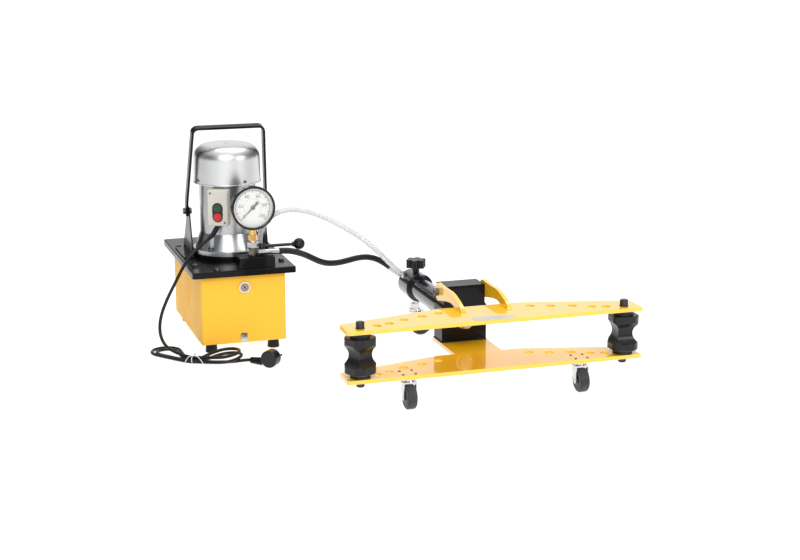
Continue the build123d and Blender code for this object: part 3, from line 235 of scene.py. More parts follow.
def cast_iron(name, colour, shade, roughness):
    """Cast or forged iron under a thin black finish: pits, mottling and brighter edges."""
    s = Shader(name, Metallic=0.1, Coat_Weight=0.25, Coat_Roughness=0.2,
               Specular_IOR_Level=0.25)
    mottle = s.mix(s.spread(s.noise(90.0, 6.0), 0.0, 1.0), colour, shade)
    worn = s.mix(s.edges(0.0012), mottle, tuple(min(1.0, c * 3 + 0.012) for c in colour))
    s.link(worn, "Base Color")
    s.link(s.spread(s.noise(120.0, 5.0), roughness * 0.75, roughness * 1.3), "Roughness")
    pits = s.node("ShaderNodeTexVoronoi", Vector=s.places, Scale=420.0).outputs["Distance"]
    s.bumps((s.noise(500.0, 4.0), 0.5, 0.00018), (pits, 0.15, 0.0002), rounding=0.0009)
    return s.material


def plastic(name, colour, shade, roughness, grain=1400.0, strength=0.25, shine=0.5):
    """Moulded plastic with a fine spark-eroded texture."""
    s = Shader(name, Specular_IOR_Level=shine)
    s.link(s.mix(s.spread(s.noise(14.0, 3.0), 0.0, 1.0), colour, shade), "Base Color")
    s.link(s.spread(s.noise(40.0, 4.0), roughness * 0.85, roughness * 1.2), "Roughness")
    s.bumps((s.noise(grain, 2.0), strength, 0.00008), rounding=0.0006)
    return s.material


def rubber(name, colour, shade, roughness, grain=1100.0, sheen=0.1):
    """Rubber or soft PVC: matt, faintly dusty, with a fine skin."""
    s = Shader(name, Sheen_Weight=sheen, Sheen_Roughness=0.5, Specular_IOR_Level=0.25)
    dust = s.spread(s.noise(30.0, 6.0), 0.0, 1.0)
    s.link(s.mix(dust, colour, shade), "Base Color")
    s.link(s.spread(s.noise(80.0, 4.0), roughness * 0.85, roughness * 1.2), "Roughness")
    s.bumps((s.noise(grain, 3.0), 0.35, 0.0001), rounding=0.0004)
    return s.material


def clear_hose(name):
    """Cloudy translucent PVC."""
    s = Shader(name, Transmission_Weight=0.35, IOR=1.45, Subsurface_Weight=0.25,
               Specular_IOR_Level=0.5)
    s.principled.inputs["Subsurface Radius"].default_value = (0.01, 0.01, 0.01)
    s.link(s.mix(s.spread(s.noise(12.0, 2.0), 0.0, 1.0), (0.84, 0.85, 0.86),
                 (0.79, 0.81, 0.83)), "Base Color")
    s.link(s.spread(s.noise(30.0, 2.0), 0.16, 0.24), "Roughness")
    s.bumps((s.noise(90.0, 2.0), 0.1, 0.00005))
    return s.material


def glass(name, colour, roughness=0.03, alpha=0.12):
    """Thin clear cover: seen through, with its own gloss and faint smears."""
    s = Shader(name, IOR=1.5, Alpha=alpha, Specular_IOR_Level=0.6)
    s.link(s.mix(s.spread(s.noise(20.0, 3.0), 0.0, 1.0), colour,
                 tuple(c * 0.96 for c in colour)), "Base Color")
    s.link(s.spread(s.noise(50.0, 4.0), roughness, roughness * 3), "Roughness")
    return s.material


def fitting_metals(name):
    """Dark foot, chrome nut and brass nut up the gauge's stem; chrome and brass to the side."""
    s = Shader(name, Metallic=1.0)
    place = s.node("ShaderNodeSeparateXYZ", Vector=s.places)

    streaks = s.spread(s.noise(160.0, 5.0), 0.0, 1.0)
    brass = s.mix(streaks, (0.82, 0.55, 0.2), (0.68, 0.43, 0.14))
    pale_brass = s.mix(streaks, (0.85, 0.7, 0.42), (0.74, 0.58, 0.3))
    chrome = s.mix(streaks, (0.7, 0.7, 0.71), (0.6, 0.6, 0.62))
    dark = s.mix(streaks, (0.1, 0.09, 0.08), (0.2, 0.17, 0.13))
    tone = dark
    for axis, limit, colour in (("Z", 0.237, chrome), ("Z", 0.251, brass),
                                ("X", STATION.x + 0.036, chrome),
                                ("X", STATION.x + 0.051, pale_brass)):
        test = s.node("ShaderNodeMath", {"operation": "GREATER_THAN"})
        s.tree.links.new(place.outputs[axis], test.inputs[0])
        test.inputs[1].default_value = limit
        beyond = test.outputs[0]
        if axis == "X":
            low = s.node("ShaderNodeMath", {"operation": "LESS_THAN"})
            s.tree.links.new(place.outputs["Z"], low.inputs[0])
            low.inputs[1].default_value = 0.234
            both = s.node("ShaderNodeMath", {"operation": "MULTIPLY"})
            s.tree.links.new(beyond, both.inputs[0])
            s.tree.links.new(low.outputs[0], both.inputs[1])
            beyond = both.outputs[0]
        tone = s.mix(beyond, tone, colour)
    s.link(tone, "Base Color")
    s.link(s.spread(s.noise(60.0, 5.0), 0.14, 0.3), "Roughness")
    s.bumps((s.noise(300.0, 3.0), 0.2, 0.00004), rounding=0.0005)
    return s.material


M = {
    "yellow": paint("yellow_enamel", (1.0, 0.585, 0.002), (0.98, 0.555, 0.0015), 0.35,
                    wear=0.3, index=1.8),
    "tank_yellow": paint("tank_enamel", (1.0, 0.55, 0.06), (0.98, 0.52, 0.05), 0.45,
                         wear=0.25, coat=0.08, gloss=0.14, index=1.35, shine=0.06),
    "black_paint": paint("black_enamel", (0.002, 0.002, 0.0025), (0.004, 0.004, 0.005), 0.3,
                         wear=0.05, coat=0.32, index=1.4, shine=0.1, gloss=0.03),
    "cylinder": paint("blue_black_enamel", (0.003, 0.005, 0.009), (0.006, 0.009, 0.014), 0.2,
                      wear=0.08, coat=0.9, shine=0.2),
    "silver_paint": metal("silver_enamel", (0.74, 0.745, 0.75), (0.69, 0.695, 0.7), 0.33,
                          grain=14.0, depth=0.00001, uneven=0.06),
    "iron": cast_iron("black_iron", (0.005, 0.005, 0.006), (0.011, 0.011, 0.012), 0.34),
    "steel": metal("ground_steel", (0.55, 0.55, 0.56), (0.42, 0.42, 0.44), 0.25,
                   brushed=(1, 12, 1)),
    "dark_steel": metal("blackened_steel", (0.045, 0.045, 0.05), (0.08, 0.08, 0.085), 0.34),
    "bolt": metal("bolt_steel", (0.2, 0.2, 0.21), (0.12, 0.12, 0.13), 0.4),
    "zinc": metal("zinc_plate", (0.62, 0.62, 0.6), (0.5, 0.5, 0.5), 0.3),
    "chrome": metal("chrome_plate", (0.72, 0.72, 0.74), (0.6, 0.6, 0.62), 0.12,
                    depth=0.00002),
    "fittings": fitting_metals("fitting_metals"),
    "aluminium": metal("cast_aluminium", (0.54, 0.555, 0.565), (0.46, 0.475, 0.49), 0.3,
                       depth=0.00002, rounding=0.001, grain=30.0, uneven=0.1),
    "copper": metal("copper_winding", (0.6, 0.28, 0.12), (0.45, 0.2, 0.08), 0.35,
                    brushed=(1, 1, 20)),
    "black_plastic": plastic("black_plastic", (0.004, 0.004, 0.005), (0.008, 0.008, 0.009),
                             0.28, shine=0.35),
    "gloss_black": plastic("gloss_black_plastic", (0.004, 0.004, 0.0045),
                           (0.007, 0.007, 0.008), 0.16, strength=0.08, shine=0.4),
    "cream_plastic": plastic("cream_plastic", (0.66, 0.64, 0.57), (0.6, 0.58, 0.5), 0.42),
    "green_plastic": plastic("green_button", (0.01, 0.06, 0.025), (0.008, 0.045, 0.02), 0.3),
    "red_plastic": plastic("red_button", (0.62, 0.015, 0.012), (0.5, 0.012, 0.01), 0.3),
    "rubber": rubber("black_rubber", (0.006, 0.006, 0.007), (0.012, 0.012, 0.013), 0.45,
                     sheen=0.03),
    "cord": rubber("cord_pvc", (0.008, 0.008, 0.009), (0.014, 0.014, 0.015), 0.3, sheen=0.03),
    "hose": rubber("hose_rubber", (0.01, 0.01, 0.011), (0.02, 0.02, 0.022), 0.3,
                   grain=700.0, sheen=0.02),
    "tyre": rubber("grey_tyre", (0.03, 0.031, 0.034), (0.055, 0.057, 0.06), 0.5),
    "clear_hose": clear_hose("clear_hose"),
    "white_paint": paint("dial_enamel", (0.88, 0.88, 0.86), (0.84, 0.84, 0.82), 0.4,
                         coat=0.1),
    "glass": glass("clear_glass", (0.9, 0.93, 0.93)),
    "oil_glass": glass("oily_glass", (0.55, 0.5, 0.36), 0.08, 0.75),
    "ink": plastic("dial_ink", (0.01, 0.01, 0.012), (0.02, 0.02, 0.022), 0.5),
    "label": metal("blank_label", (0.78, 0.8, 0.76), (0.66, 0.69, 0.66), 0.3,
                   brushed=(20, 1, 1), depth=0.00001),
    "white_wire": plastic("white_wire", (0.85, 0.85, 0.84), (0.78, 0.78, 0.77), 0.35),
    "mesh": metal("filter_gauze", (0.5, 0.46, 0.36), (0.25, 0.23, 0.18), 0.4, grain=1800.0,
                  depth=0.0004),
}

CAD_LOOKS = {
    "yellow": ("lower_wing", "upper_wing", "hinge_arms"),
    "tank_yellow": ("oil_tank",),
    "black_paint": ("square_block", "tank_lid", "motor_flange", "valve_block",
                    "handle_brackets", "carrying_handle"),
    "cylinder": ("cylinder_tube", "rear_collar", "cylinder_end_cap"),
    "silver_paint": ("fan_cover",),
    "aluminium": ("motor_housing",),
    "iron": ("left_roller", "right_roller", "pump_body"),
    "steel": ("piston_ram", "rotor_shaft", "motor_bearings"),
    "dark_steel": ("left_roller_pin", "right_roller_pin", "valve_lever"),
    "bolt": ("hex_bolts", "pan_screws", "pivot_bolts"),
    "chrome": ("caster_mounts", "left_caster_fork", "right_caster_fork", "rear_caster_fork",
               "tank_fittings"),
    "fittings": ("gauge_fittings",),
    "zinc": ("hose_fittings",),
    "copper": ("stator_core",),
    "black_plastic": ("star_knob", "lever_ball", "cooling_fan"),
    "cream_plastic": ("switch_box",),
    "green_plastic": ("start_button",),
    "red_plastic": ("stop_button",),
    "rubber": ("rubber_feet", "rod_wiper", "piston_seal", "cord_gland"),
    "gloss_black": ("mains_plug", "gauge_case", "gauge_needle"),
    "tyre": ("left_caster_wheel", "right_caster_wheel", "rear_caster_wheel"),
    "white_paint": ("gauge_dial",),
    "glass": ("gauge_glass",),
    "oil_glass": ("sight_glass",),
    "mesh": ("suction_filter",),
}


def dress_cad():
    """Give every CAD node its material."""
    for look, names in CAD_LOOKS.items():
        for name in names:
            for slot in NODES[name].material_slots:
                slot.link = "OBJECT"
                slot.material = M[look]


dress_cad()


# ================================================================ making pieces
def add_mesh(name, mesh, look, body, smooth=35.0):
    """Object of a mesh, shaded smooth except over sharp edges, riding on a body."""
    mesh.shade_smooth()
    mesh.set_sharp_from_angle(angle=radians(smooth))
    piece = bpy.data.objects.new(name, mesh)
    scene.collection.objects.link(piece)
    mesh.materials.append(M[look])
    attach(piece, body)
    return piece


def cord_curve(name, points, diameter, look, body):
    """Round cord along a NURBS spline through its route's control points."""
    curve = bpy.data.curves.new(name, "CURVE")
    curve.dimensions = "3D"
    curve.bevel_depth = diameter / 2
    curve.bevel_resolution = 5
    curve.use_fill_caps = True
    spline = curve.splines.new("NURBS")
    spline.points.add(len(points) - 1)
    for control, point in zip(spline.points, points):
        control.co = (*point, 1.0)
    spline.order_u = 3
    spline.use_endpoint_u = True
    spline.resolution_u = 8
    piece = bpy.data.objects.new(name, curve)
    scene.collection.objects.link(piece)
    curve.materials.append(M[look])
    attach(piece, body)
    return piece


# ================================================================ hoses
ELBOW = Vector((0.411, -0.066, 0.117))
ELBOW_DIR = Vector((-0.80, 0, 0.60))
PRESSURE_END = ELBOW + ELBOW_DIR * 0.057
PRESSURE_ROUTE = [
    (0.084, -0.143, 0.224), (0.104, -0.143, 0.224), (0.126, -0.1445, 0.2184),
    (0.146, -0.143, 0.2103), (0.1645, -0.1395, 0.1996), (0.182, -0.1345, 0.1902),
    (0.202, -0.128, 0.1836), (0.226, -0.1185, 0.181), (0.252, -0.1065, 0.1818),
    (0.279, -0.093, 0.1833), (0.304, -0.0805, 0.1814), (0.327, -0.071, 0.175),
    tuple(PRESSURE_END + ELBOW_DIR * 0.022), tuple(PRESSURE_END),
]
RETURN_DIR = Vector((-0.75, 0, 0.66)).normalized()
RETURN_END = Vector((0.411, -0.112, 0.117)) + RETURN_DIR * 0.0445
RETURN_ROUTE = [
    (0.052, -0.092, 0.215), (0.052, -0.092, 0.234), (0.053, -0.093, 0.254),
    (0.0625, -0.095, 0.2785), (0.082, -0.0975, 0.2975), (0.108, -0.100, 0.3075),
    (0.136, -0.102, 0.3075), (0.164, -0.104, 0.301), (0.194, -0.106, 0.289),
    (0.225, -0.108, 0.2725), (0.256, -0.1095, 0.2538), (0.286, -0.1107, 0.2335),
    (0.314, -0.1115, 0.209), (0.340, -0.112, 0.1835), tuple(RETURN_END + RETURN_DIR * 0.020),
    tuple(RETURN_END),
]
HOSE_D = 0.014
RETURN_D = 0.012


def make_hoses():
    for name, node, route, diameter, look, length, stiffness in (
        ("black_pressure_hose", "pressure_hose", PRESSURE_ROUTE, HOSE_D, "hose", 0.312,
         "stiff"),
        ("clear_return_hose", "return_hose", RETURN_ROUTE, RETURN_D, "clear_hose", 0.443,
         "medium"),
    ):
        points = [station(*p) for p in route]
        hose = cord_curve(name, points, diameter, look, "frame")
        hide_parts(node)


make_hoses()


# ================================================================ mains lead
def heading(degrees_left):
    """Level direction, turned anticlockwise from +X."""
    return Vector((cos(radians(degrees_left)), sin(radians(degrees_left)), 0))


def turn_of(direction):
    return degrees(atan2(direction.y, direction.x))


CORD_D = 0.007
FLOOR_Z = CORD_D / 2
SWITCH_TURN = radians(26.0)
GLAND_DIR = Vector((-0.55, -0.30, -0.78)).normalized()
GLAND_FOOT = Vector((-0.080 * sin(SWITCH_TURN), -0.080 * cos(SWITCH_TURN), 0.280))
GLAND_END = GLAND_FOOT + GLAND_DIR * 0.016
DROP_ROUTE = [
    tuple(GLAND_END), tuple(GLAND_END + GLAND_DIR * 0.015), (-0.072, -0.0895, 0.2435),
    (-0.093, -0.094, 0.229), (-0.112, -0.097, 0.2105), (-0.127, -0.1005, 0.1885),
    (-0.140, -0.104, 0.166), (-0.154, -0.1085, 0.143), (-0.167, -0.114, 0.121),
    (-0.179, -0.120, 0.096), (-0.186, -0.127, 0.071), (-0.186, -0.134, 0.047),
    (-0.178, -0.142, 0.0275), (-0.165, -0.155, 0.018), (-0.151, -0.171, 0.0135),
]
TIE = Vector((-0.125, -0.196, 0))
TIE_TURN = -25.0
TIE_DIR = heading(TIE_TURN)
TIE_ACROSS = heading(TIE_TURN + 90)
STRAND = 0.0075                               # from one strand to the next in the tie
LEFT_LOBE = heading(118.0)
LEFT_OUTER = TIE + LEFT_LOBE * 0.0985 + LEFT_LOBE.cross(UP) * 0.001
LEFT_INNER = TIE + LEFT_LOBE * 0.0930
RIGHT_UPPER = Vector((-0.058, -0.205, 0))
RIGHT_LOWER = Vector((-0.057, -0.2125, 0))
UPPER_HEIGHTS = [0.0165, 0.0195, 0.0210, 0.0210, 0.0195, 0.0170, 0.0140]
LOWER_HEIGHTS = [0.0080, 0.0110, 0.0138, 0.0135, 0.0115, 0.0085, 0.0055]
PLUG_AT = Vector((0.028, -0.284, 0.0195))
SLEEVE_DIR = heading(-41.0)
SLEEVE_END = PLUG_AT - SLEEVE_DIR * 0.050 - Vector((0, 0, 0.0095))


def straight_through(slot, height, reach=0.009):
    """Two points of a strand that runs straight through the tie, left and right of it."""
    place = TIE + TIE_ACROSS * STRAND * slot + UP * height
    return [place - TIE_DIR * reach, place + TIE_DIR * reach]


def bent_away(slot, way, turn, run):
    """Points of a strand that leaves the tie and turns, on its right (1) or left (-1)."""
    points = [TIE + TIE_ACROSS * STRAND * slot + TIE_DIR * 0.006 * way + UP * FLOOR_Z]
    for step in (1, 2):
        leaving = TIE_TURN + (0 if way > 0 else 180) + turn * step / 3
        points.append(points[-1] + heading(leaving) * run)
    return points


def round_end(centre, radius, entry, leave, heights):
    """Points round a lobe's far end, anticlockwise, between its two sides."""
    to_centre = (centre - entry).to_2d()
    from_centre = (leave - centre).to_2d()
    first = turn_of(to_centre) - degrees(asin(radius / to_centre.length)) - 90
    last = turn_of(from_centre) + degrees(asin(radius / from_centre.length)) - 90
    last += 360 if last < first else 0
    step = (last - first) / len(heights)
    outside = radius / cos(radians(step / 2))
    return [centre + heading(first + step * (i + 0.5)) * outside + UP * height
            for i, height in enumerate(heights)]


def lobe_side(start, end, bow, marks):
    """Points along a lobe's side, bowed outwards a little."""
    out = (end - start).normalized().cross(UP)
    return [start.lerp(end, mark) + out * bow for mark in marks]


def right_lobe(centre, radius, entry, leave, heights):
    far = round_end(centre, radius, entry, leave, heights)
    return lobe_side(entry, far[0], 0.001, (0.5,)) + far


def left_lobe(centre, radius, entry, leave):
    far = round_end(centre, radius, entry, leave, [FLOOR_Z] * 6)
    marks = (0.2, 0.48, 0.76)
    return (lobe_side(entry, far[0], 0.0004, marks) + far
            + lobe_side(far[-1], leave, 0.001, marks))


def cord_route():
    """The whole lead: gland, drop, two turns of the hank, and the run to the plug."""
    top = straight_through(0, 0.0107)
    front_outer = straight_through(-1.5, FLOOR_Z)
    front_inner = straight_through(-0.5, FLOOR_Z)
    outer_right = bent_away(1.5, 1, 64, 0.0112)
    outer_left = bent_away(1.5, -1, -64, 0.0115)
    inner_right = bent_away(0.5, 1, 60, 0.0140)
    inner_left = bent_away(0.5, -1, -63, 0.0145)
    route = [Vector(p) for p in DROP_ROUTE] + top
    route += right_lobe(RIGHT_UPPER, 0.033, top[1], outer_right[2], UPPER_HEIGHTS)
    route += [outer_right[2] + UP * 0.0065, outer_right[1] + UP * 0.003, outer_right[0]]
    route += outer_left
    route += left_lobe(LEFT_OUTER, 0.0315, outer_left[2], front_outer[0])
    route += front_outer
    route += right_lobe(RIGHT_LOWER, 0.035, front_outer[1], inner_right[2], LOWER_HEIGHTS)
    route += reversed(inner_right)
    route += inner_left
    route += left_lobe(LEFT_INNER, 0.0228, inner_left[2], front_inner[0])
    route += front_inner
    route += [Vector((-0.096, -0.2165, FLOOR_Z)), Vector((-0.069, -0.2265, FLOOR_Z)),
              Vector((-0.042, -0.2345, 0.0043)),
              SLEEVE_END - SLEEVE_DIR * 0.014 - UP * 0.002, SLEEVE_END]
    return [station(*p) for p in route]


def make_lead():
    points = cord_route()
    lead = cord_curve("mains_lead", points, CORD_D, "cord", "frame")
    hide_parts("power_cord", "cord_hank")


make_lead()


# ================================================================ making detail pieces
def turned(name, profile, place, axis, look, body, sides=48):
    """Ring turned about an axis, from its section as (radius, distance along) points."""
    base = axis.to_track_quat("Z", "Y").to_matrix()
    build = bmesh.new()
    sections = []
    for i in range(sides):
        angle = 2 * pi * i / sides
        sections.append([
            build.verts.new(place + base @ Vector((r * cos(angle), r * sin(angle), along)))
            for r, along in profile
        ])
    for i, section in enumerate(sections):
        beside = sections[(i + 1) % sides]
        for j, corner in enumerate(section):
            k = (j + 1) % len(section)
            build.faces.new((corner, beside[j], beside[k], section[k]))
    return finish_mesh(build, name, look, body)


def finish_mesh(build, name, look, body):
    bmesh.ops.recalc_face_normals(build, faces=build.faces)
    mesh = bpy.data.meshes.new(name)
    build.to_mesh(mesh)
    build.free()
    return add_mesh(name, mesh, look, body)


def tube(name, points, radii, look, body, sides=12, closed=False):
    """Round bar along points, with a radius at each."""
    build = bmesh.new()
    rings = []
    out = BACK
    for i, point in enumerate(points):
        ahead = points[(i + 1) % len(points)] if closed or i + 1 < len(points) else point
        behind = points[i - 1] if closed or i else point
        along = (ahead - behind).normalized()
        if not rings and abs(along.dot(out)) > 0.9:
            out = UP
        out = (out - along * out.dot(along)).normalized()
        across = along.cross(out)
        rings.append([
            build.verts.new(point + (out * cos(2 * pi * k / sides)
                                     + across * sin(2 * pi * k / sides)) * radii[i])
            for k in range(sides)
        ])
    for i in range(len(rings) if closed else len(rings) - 1):
        ring, beside = rings[i], rings[(i + 1) % len(rings)]
        for k in range(sides):
            m = (k + 1) % sides
            build.faces.new((ring[k], ring[m], beside[m], beside[k]))
    if not closed:
        build.faces.new(rings[0])
        build.faces.new(rings[-1])
    return finish_mesh(build, name, look, body)


def rounded_outline(width, height, radius, steps=8):
    """Outline of a rectangle with round corners, about its middle."""
    points = []
    for corner, (x, y) in enumerate(((1, 1), (-1, 1), (-1, -1), (1, -1))):
        for step in range(steps + 1):
            angle = pi / 2 * (corner + step / steps)
            points.append((x * (width / 2 - radius) + radius * cos(angle),
                           y * (height / 2 - radius) + radius * sin(angle)))
    return points


def circle_outline(x, y, radius, steps=40):
    return [(x + radius * cos(2 * pi * i / steps), y + radius * sin(2 * pi * i / steps))
            for i in range(steps)]


def flat_shape(name, outlines, thickness, place, normal, look, body):
    """Flat piece cut to closed outlines, the first its edge and the others holes."""
    curve = bpy.data.curves.new(name, "CURVE")
    curve.dimensions = "2D"
    curve.fill_mode = "BOTH"
    curve.extrude = thickness / 2
    for outline in outlines:
        spline = curve.splines.new("POLY")
        spline.points.add(len(outline) - 1)
        for control, (x, y) in zip(spline.points, outline):
            control.co = (x, y, 0, 1)
        spline.use_cyclic_u = True
    curve.materials.append(M[look])
    piece = bpy.data.objects.new(name, curve)
    scene.collection.objects.link(piece)
    up = BACK if abs(normal.z) > 0.9 else UP
    turn = Matrix((up.cross(normal), up, normal)).transposed().to_4x4()
    piece.matrix_world = Matrix.Translation(place + normal * thickness / 2) @ turn
    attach(piece, body)
    return piece


# ================================================================ gauge
DIAL = middle("gauge_dial")
DIAL.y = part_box("gauge_dial")[0][1] - 0.0002
ZERO_TURN = 225.0
SCALE_TURN = -270.0


def on_dial(share, radius):
    """Point on the dial's face, at a share of its scale."""
    angle = radians(ZERO_TURN + SCALE_TURN * share)
    return DIAL + Vector((cos(angle) * radius, 0, sin(angle) * radius))


def dial_line(build, start, end, width):
    side = (end - start).cross(BACK).normalized() * width / 2
    build.faces.new([build.verts.new(p) for p in
                     (start - side, start + side, end + side, end - side)])


def dial_scale():
    """Printed scale: an arc, a hundred small marks and longer tens."""
    build = bmesh.new()
    for i in range(101):
        inner = 0.0335 if i % 10 == 0 else 0.0355 if i % 5 == 0 else 0.0370
        width = 0.0012 if i % 10 == 0 else 0.0005
        dial_line(build, on_dial(i / 100, inner), on_dial(i / 100, 0.0390), width)
        if i < 100:
            for radius, line in ((0.0391, 0.0006), (0.0200, 0.0004)):
                dial_line(build, on_dial(i / 100, radius), on_dial((i + 1) / 100, radius),
                          line)
    finish_mesh(build, "dial_scale", "ink", "frame")


def dial_numbers():
    for number in range(0, 101, 20):
        text = bpy.data.curves.new(f"dial_number_{number}", "FONT")
        text.body = str(number)
        text.size = 0.0105
        text.align_x = "CENTER"
        text.align_y = "CENTER"
        text.materials.append(M["ink"])
        piece = bpy.data.objects.new(f"dial_number_{number}", text)
        scene.collection.objects.link(piece)
        piece.rotation_euler = (pi / 2, 0, 0)
        piece.location = on_dial(number / 100, 0.0275)
        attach(piece, "frame")


def gauge_rings():
    """Stepped lip round the glass, and the needle's hub."""
    front = station(0.025, -0.160, 0.327)
    turned("gauge_lip", [(0.0442, 0.0), (0.0462, 0.0012), (0.0482, 0.0008), (0.0489, 0.0),
                         (0.0489, -0.0006), (0.0442, -0.0006)], front, -BACK, "gloss_black",
           "frame", 96)
    turned("needle_hub", [(0.0002, 0.0), (0.0046, 0.0), (0.0046, 0.0010), (0.0036, 0.0016),
                          (0.0002, 0.0016)], station(0.025, -0.1515, 0.327), -BACK,
           "gloss_black", "needle_body", 32)


# ================================================================ switch box and glands
BOX_OUT = Vector((-sin(SWITCH_TURN), -cos(SWITCH_TURN), 0))
SWITCH_FACE = 0.092
BUTTON_MID = 0.307


def switch_details():
    """Dark frame round both buttons, and two cover screws."""
    face = station(*(BOX_OUT * SWITCH_FACE))
    holes = [circle_outline(0, side * 0.010, 0.0097) for side in (-1, 1)]
    flat_shape("button_frame", [rounded_outline(0.0235, 0.0435, 0.0117)] + holes, 0.0014,
               face + UP * BUTTON_MID, BOX_OUT, "gloss_black", "frame")
    aside = UP.cross(BOX_OUT)
    for number, (x, z) in enumerate(((-0.016, 0.350), (0.016, 0.284))):
        turned(f"switch_screw_{number}", [(0.0002, 0.0002), (0.0024, 0.0), (0.0022, 0.0009),
                                          (0.0002, 0.0012)], face + aside * x + UP * z,
               BOX_OUT, "bolt", "frame", 20)


def gland_boot():
    """Ribbed rubber boot that tapers down to the lead."""
    start, bend = station(*GLAND_END), station(*DROP_ROUTE[2])
    knee = start + GLAND_DIR * 0.015
    points, radii = [], []
    for step in range(25):
        share = step / 24
        low, high = start.lerp(knee, share), knee.lerp(bend, share * 0.5)
        points.append(low.lerp(high, share))
        rib = 0.0005 if step % 4 < 2 else 0.0
        radii.append(0.0058 - 0.0018 * share + rib)
    tube("gland_boot", points, radii, "rubber", "frame", 20)


def plug_ribs():
    """Ribs along the plug's sleeve."""
    for number in range(6):
        at = 0.003 + 0.0048 * number
        place = station(*(SLEEVE_END + SLEEVE_DIR * at))
        radius = 0.0061 + 0.07 * at
        turned(f"plug_rib_{number}", [(radius - 0.001, -0.0012), (radius + 0.0008, -0.0008),
                                      (radius + 0.0008, 0.0008), (radius - 0.001, 0.0012)],
               place, SLEEVE_DIR, "gloss_black", "frame", 32)


def cord_tie():
    """White wire twisted round the strands, with two loose tails."""
    half, low, high = 0.0162, 0.0011, 0.0156
    points = []
    for x, z in rounded_outline(2 * half, high - low, 0.006, 5):
        points.append(station(*(TIE + TIE_ACROSS * x + UP * (z + (high + low) / 2))))
    tube("tie_loop", points, [0.0009] * len(points), "white_wire", "frame", 8, True)
    twist = station(*(TIE - TIE_ACROSS * 0.010 + UP * 0.0165))
    for number, (along, across, drop) in enumerate(((0.030, -0.016, 0.015),
                                                    (-0.012, -0.034, 0.0155))):
        end = twist + TIE_DIR * along + TIE_ACROSS * across
        tail = []
        for step in range(9):
            share = step / 8
            point = twist.lerp(end, share)
            point.z += 0.004 * sin(pi * share) - drop * share ** 2
            tail.append(point)
        tube(f"tie_tail_{number}", tail, [0.0009] * 9, "white_wire", "frame", 8)


# ================================================================ welds, label, tank
def weld_bead(name, start, end, radius, look, body):
    """Rippled weld run."""
    count = max(8, int((end - start).length / 0.0014))
    points = [start.lerp(end, i / count) for i in range(count + 1)]
    radii = [radius * (0.86 + 0.2 * abs(sin(i * 1.15))) for i in range(count + 1)]
    tube(name, points, radii, look, body, 10)


def frame_welds():
    """Arms to the upper wing, and the square block to the tab."""
    for side, name in ((-1, "left"), (1, "right")):
        for x, face in ((0.0464, "inner"), (0.0544, "outer")):
            weld_bead(f"arm_weld_{name}_{face}", bench(side * x, 0.048, 0.1712),
                      bench(side * x, 0.092, 0.1712), 0.0019, "yellow", "upper_wing_frame")
        weld_bead(f"block_weld_{name}", bench(side * 0.0502, 0.184, 0.0716),
                  bench(side * 0.0502, 0.230, 0.0716), 0.0022, "black_paint", "frame")
    weld_bead("block_weld_front", bench(-0.048, 0.1818, 0.0716),
              bench(0.048, 0.1818, 0.0716), 0.0022, "black_paint", "frame")


def wing_label():
    """Blank silver label on the upper wing."""
    flat_shape("wing_label", [rounded_outline(0.088, 0.026, 0.002)], 0.0003,
               bench(-0.006, -0.006, 0.1711), UP, "label", "upper_wing_frame")


def tank_seam():
    """Folded seams on both sides of the tank."""
    for side, name in ((-1, "left"), (1, "right")):
        low, high = station(side * 0.0961, 0.004, 0.026), station(side * 0.0961, 0.004, 0.177)
        weld_bead(f"tank_seam_{name}", low, high, 0.0007, "tank_yellow", "frame")


def sight_marks():
    """Level ring and two crossed marks behind the sight glass."""
    face = station(0.002, -0.1536, 0.149)
    turned("sight_ring", [(0.0066, 0.0), (0.0078, 0.0), (0.0078, 0.0003), (0.0066, 0.0003)],
           face, -BACK, "red_plastic", "frame")
    for number, turn in enumerate((35, -55)):
        reach = Vector((cos(radians(turn)), 0, sin(radians(turn)))) * 0.0052
        tube(f"sight_mark_{number}", [face - reach, face + reach], [0.0009] * 2,
             "gloss_black", "frame", 8)


# ================================================================ casters and fan cover
WHEEL_AXLES = {joint["name"].split("_")[0]: Vector(joint["axis"]).normalized()
               for joint in frame["joints"] if joint["name"].endswith("_wheel_roll")}


def wheel_details():
    """Hub caps and moulded rings on both sides of each wheel."""
    for name in ("left", "right", "rear"):
        low, high = (Vector(c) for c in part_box(f"{name}_caster_wheel"))
        centre = (low + high) / 2
        axle = WHEEL_AXLES[name]
        for side, where in ((-1, "a"), (1, "b")):
            place, out = centre + axle * side * 0.0100, axle * side
            turned(f"{name}_wheel_ring_{where}",
                   [(0.0150, -0.0005), (0.0155, 0.0004), (0.0175, 0.0004), (0.0180, -0.0005)],
                   place, out, "tyre", f"{name}_wheel_body")
            turned(f"{name}_wheel_hub_{where}",
                   [(0.0060, -0.0005), (0.0065, 0.0006), (0.0110, 0.0005),
                    (0.0118, -0.0005)], place, out, "gloss_black", f"{name}_wheel_body")


def cover_details():
    """Rolled edge round the fan cover's foot."""
    turned("cover_edge", [(0.0756, -0.0014), (0.0770, -0.0010), (0.0773, 0.0),
                          (0.0770, 0.0010), (0.0754, 0.0014)], station(0, 0, 0.3640), UP,
           "silver_paint", "frame", 96)


for make in (dial_scale, dial_numbers, gauge_rings, switch_details, gland_boot, plug_ribs,
             cord_tie, frame_welds, wing_label, tank_seam, sight_marks, wheel_details,
             cover_details):
    make()


# ================================================================ light and floor
def area_light(name, place, target, size, power, colour=(1, 1, 1)):
    data = bpy.data.lights.new(name, "AREA")
    data.shape = "RECTANGLE"
    data.size, data.size_y = size
    data.energy = power
    data.color = colour
    light = bpy.data.objects.new(name, data)
    scene.collection.objects.link(light)
    light.location = place
    light.rotation_mode = "QUATERNION"
    light.rotation_quaternion = (Vector(target) - Vector(place)).to_track_quat("-Z", "Y")


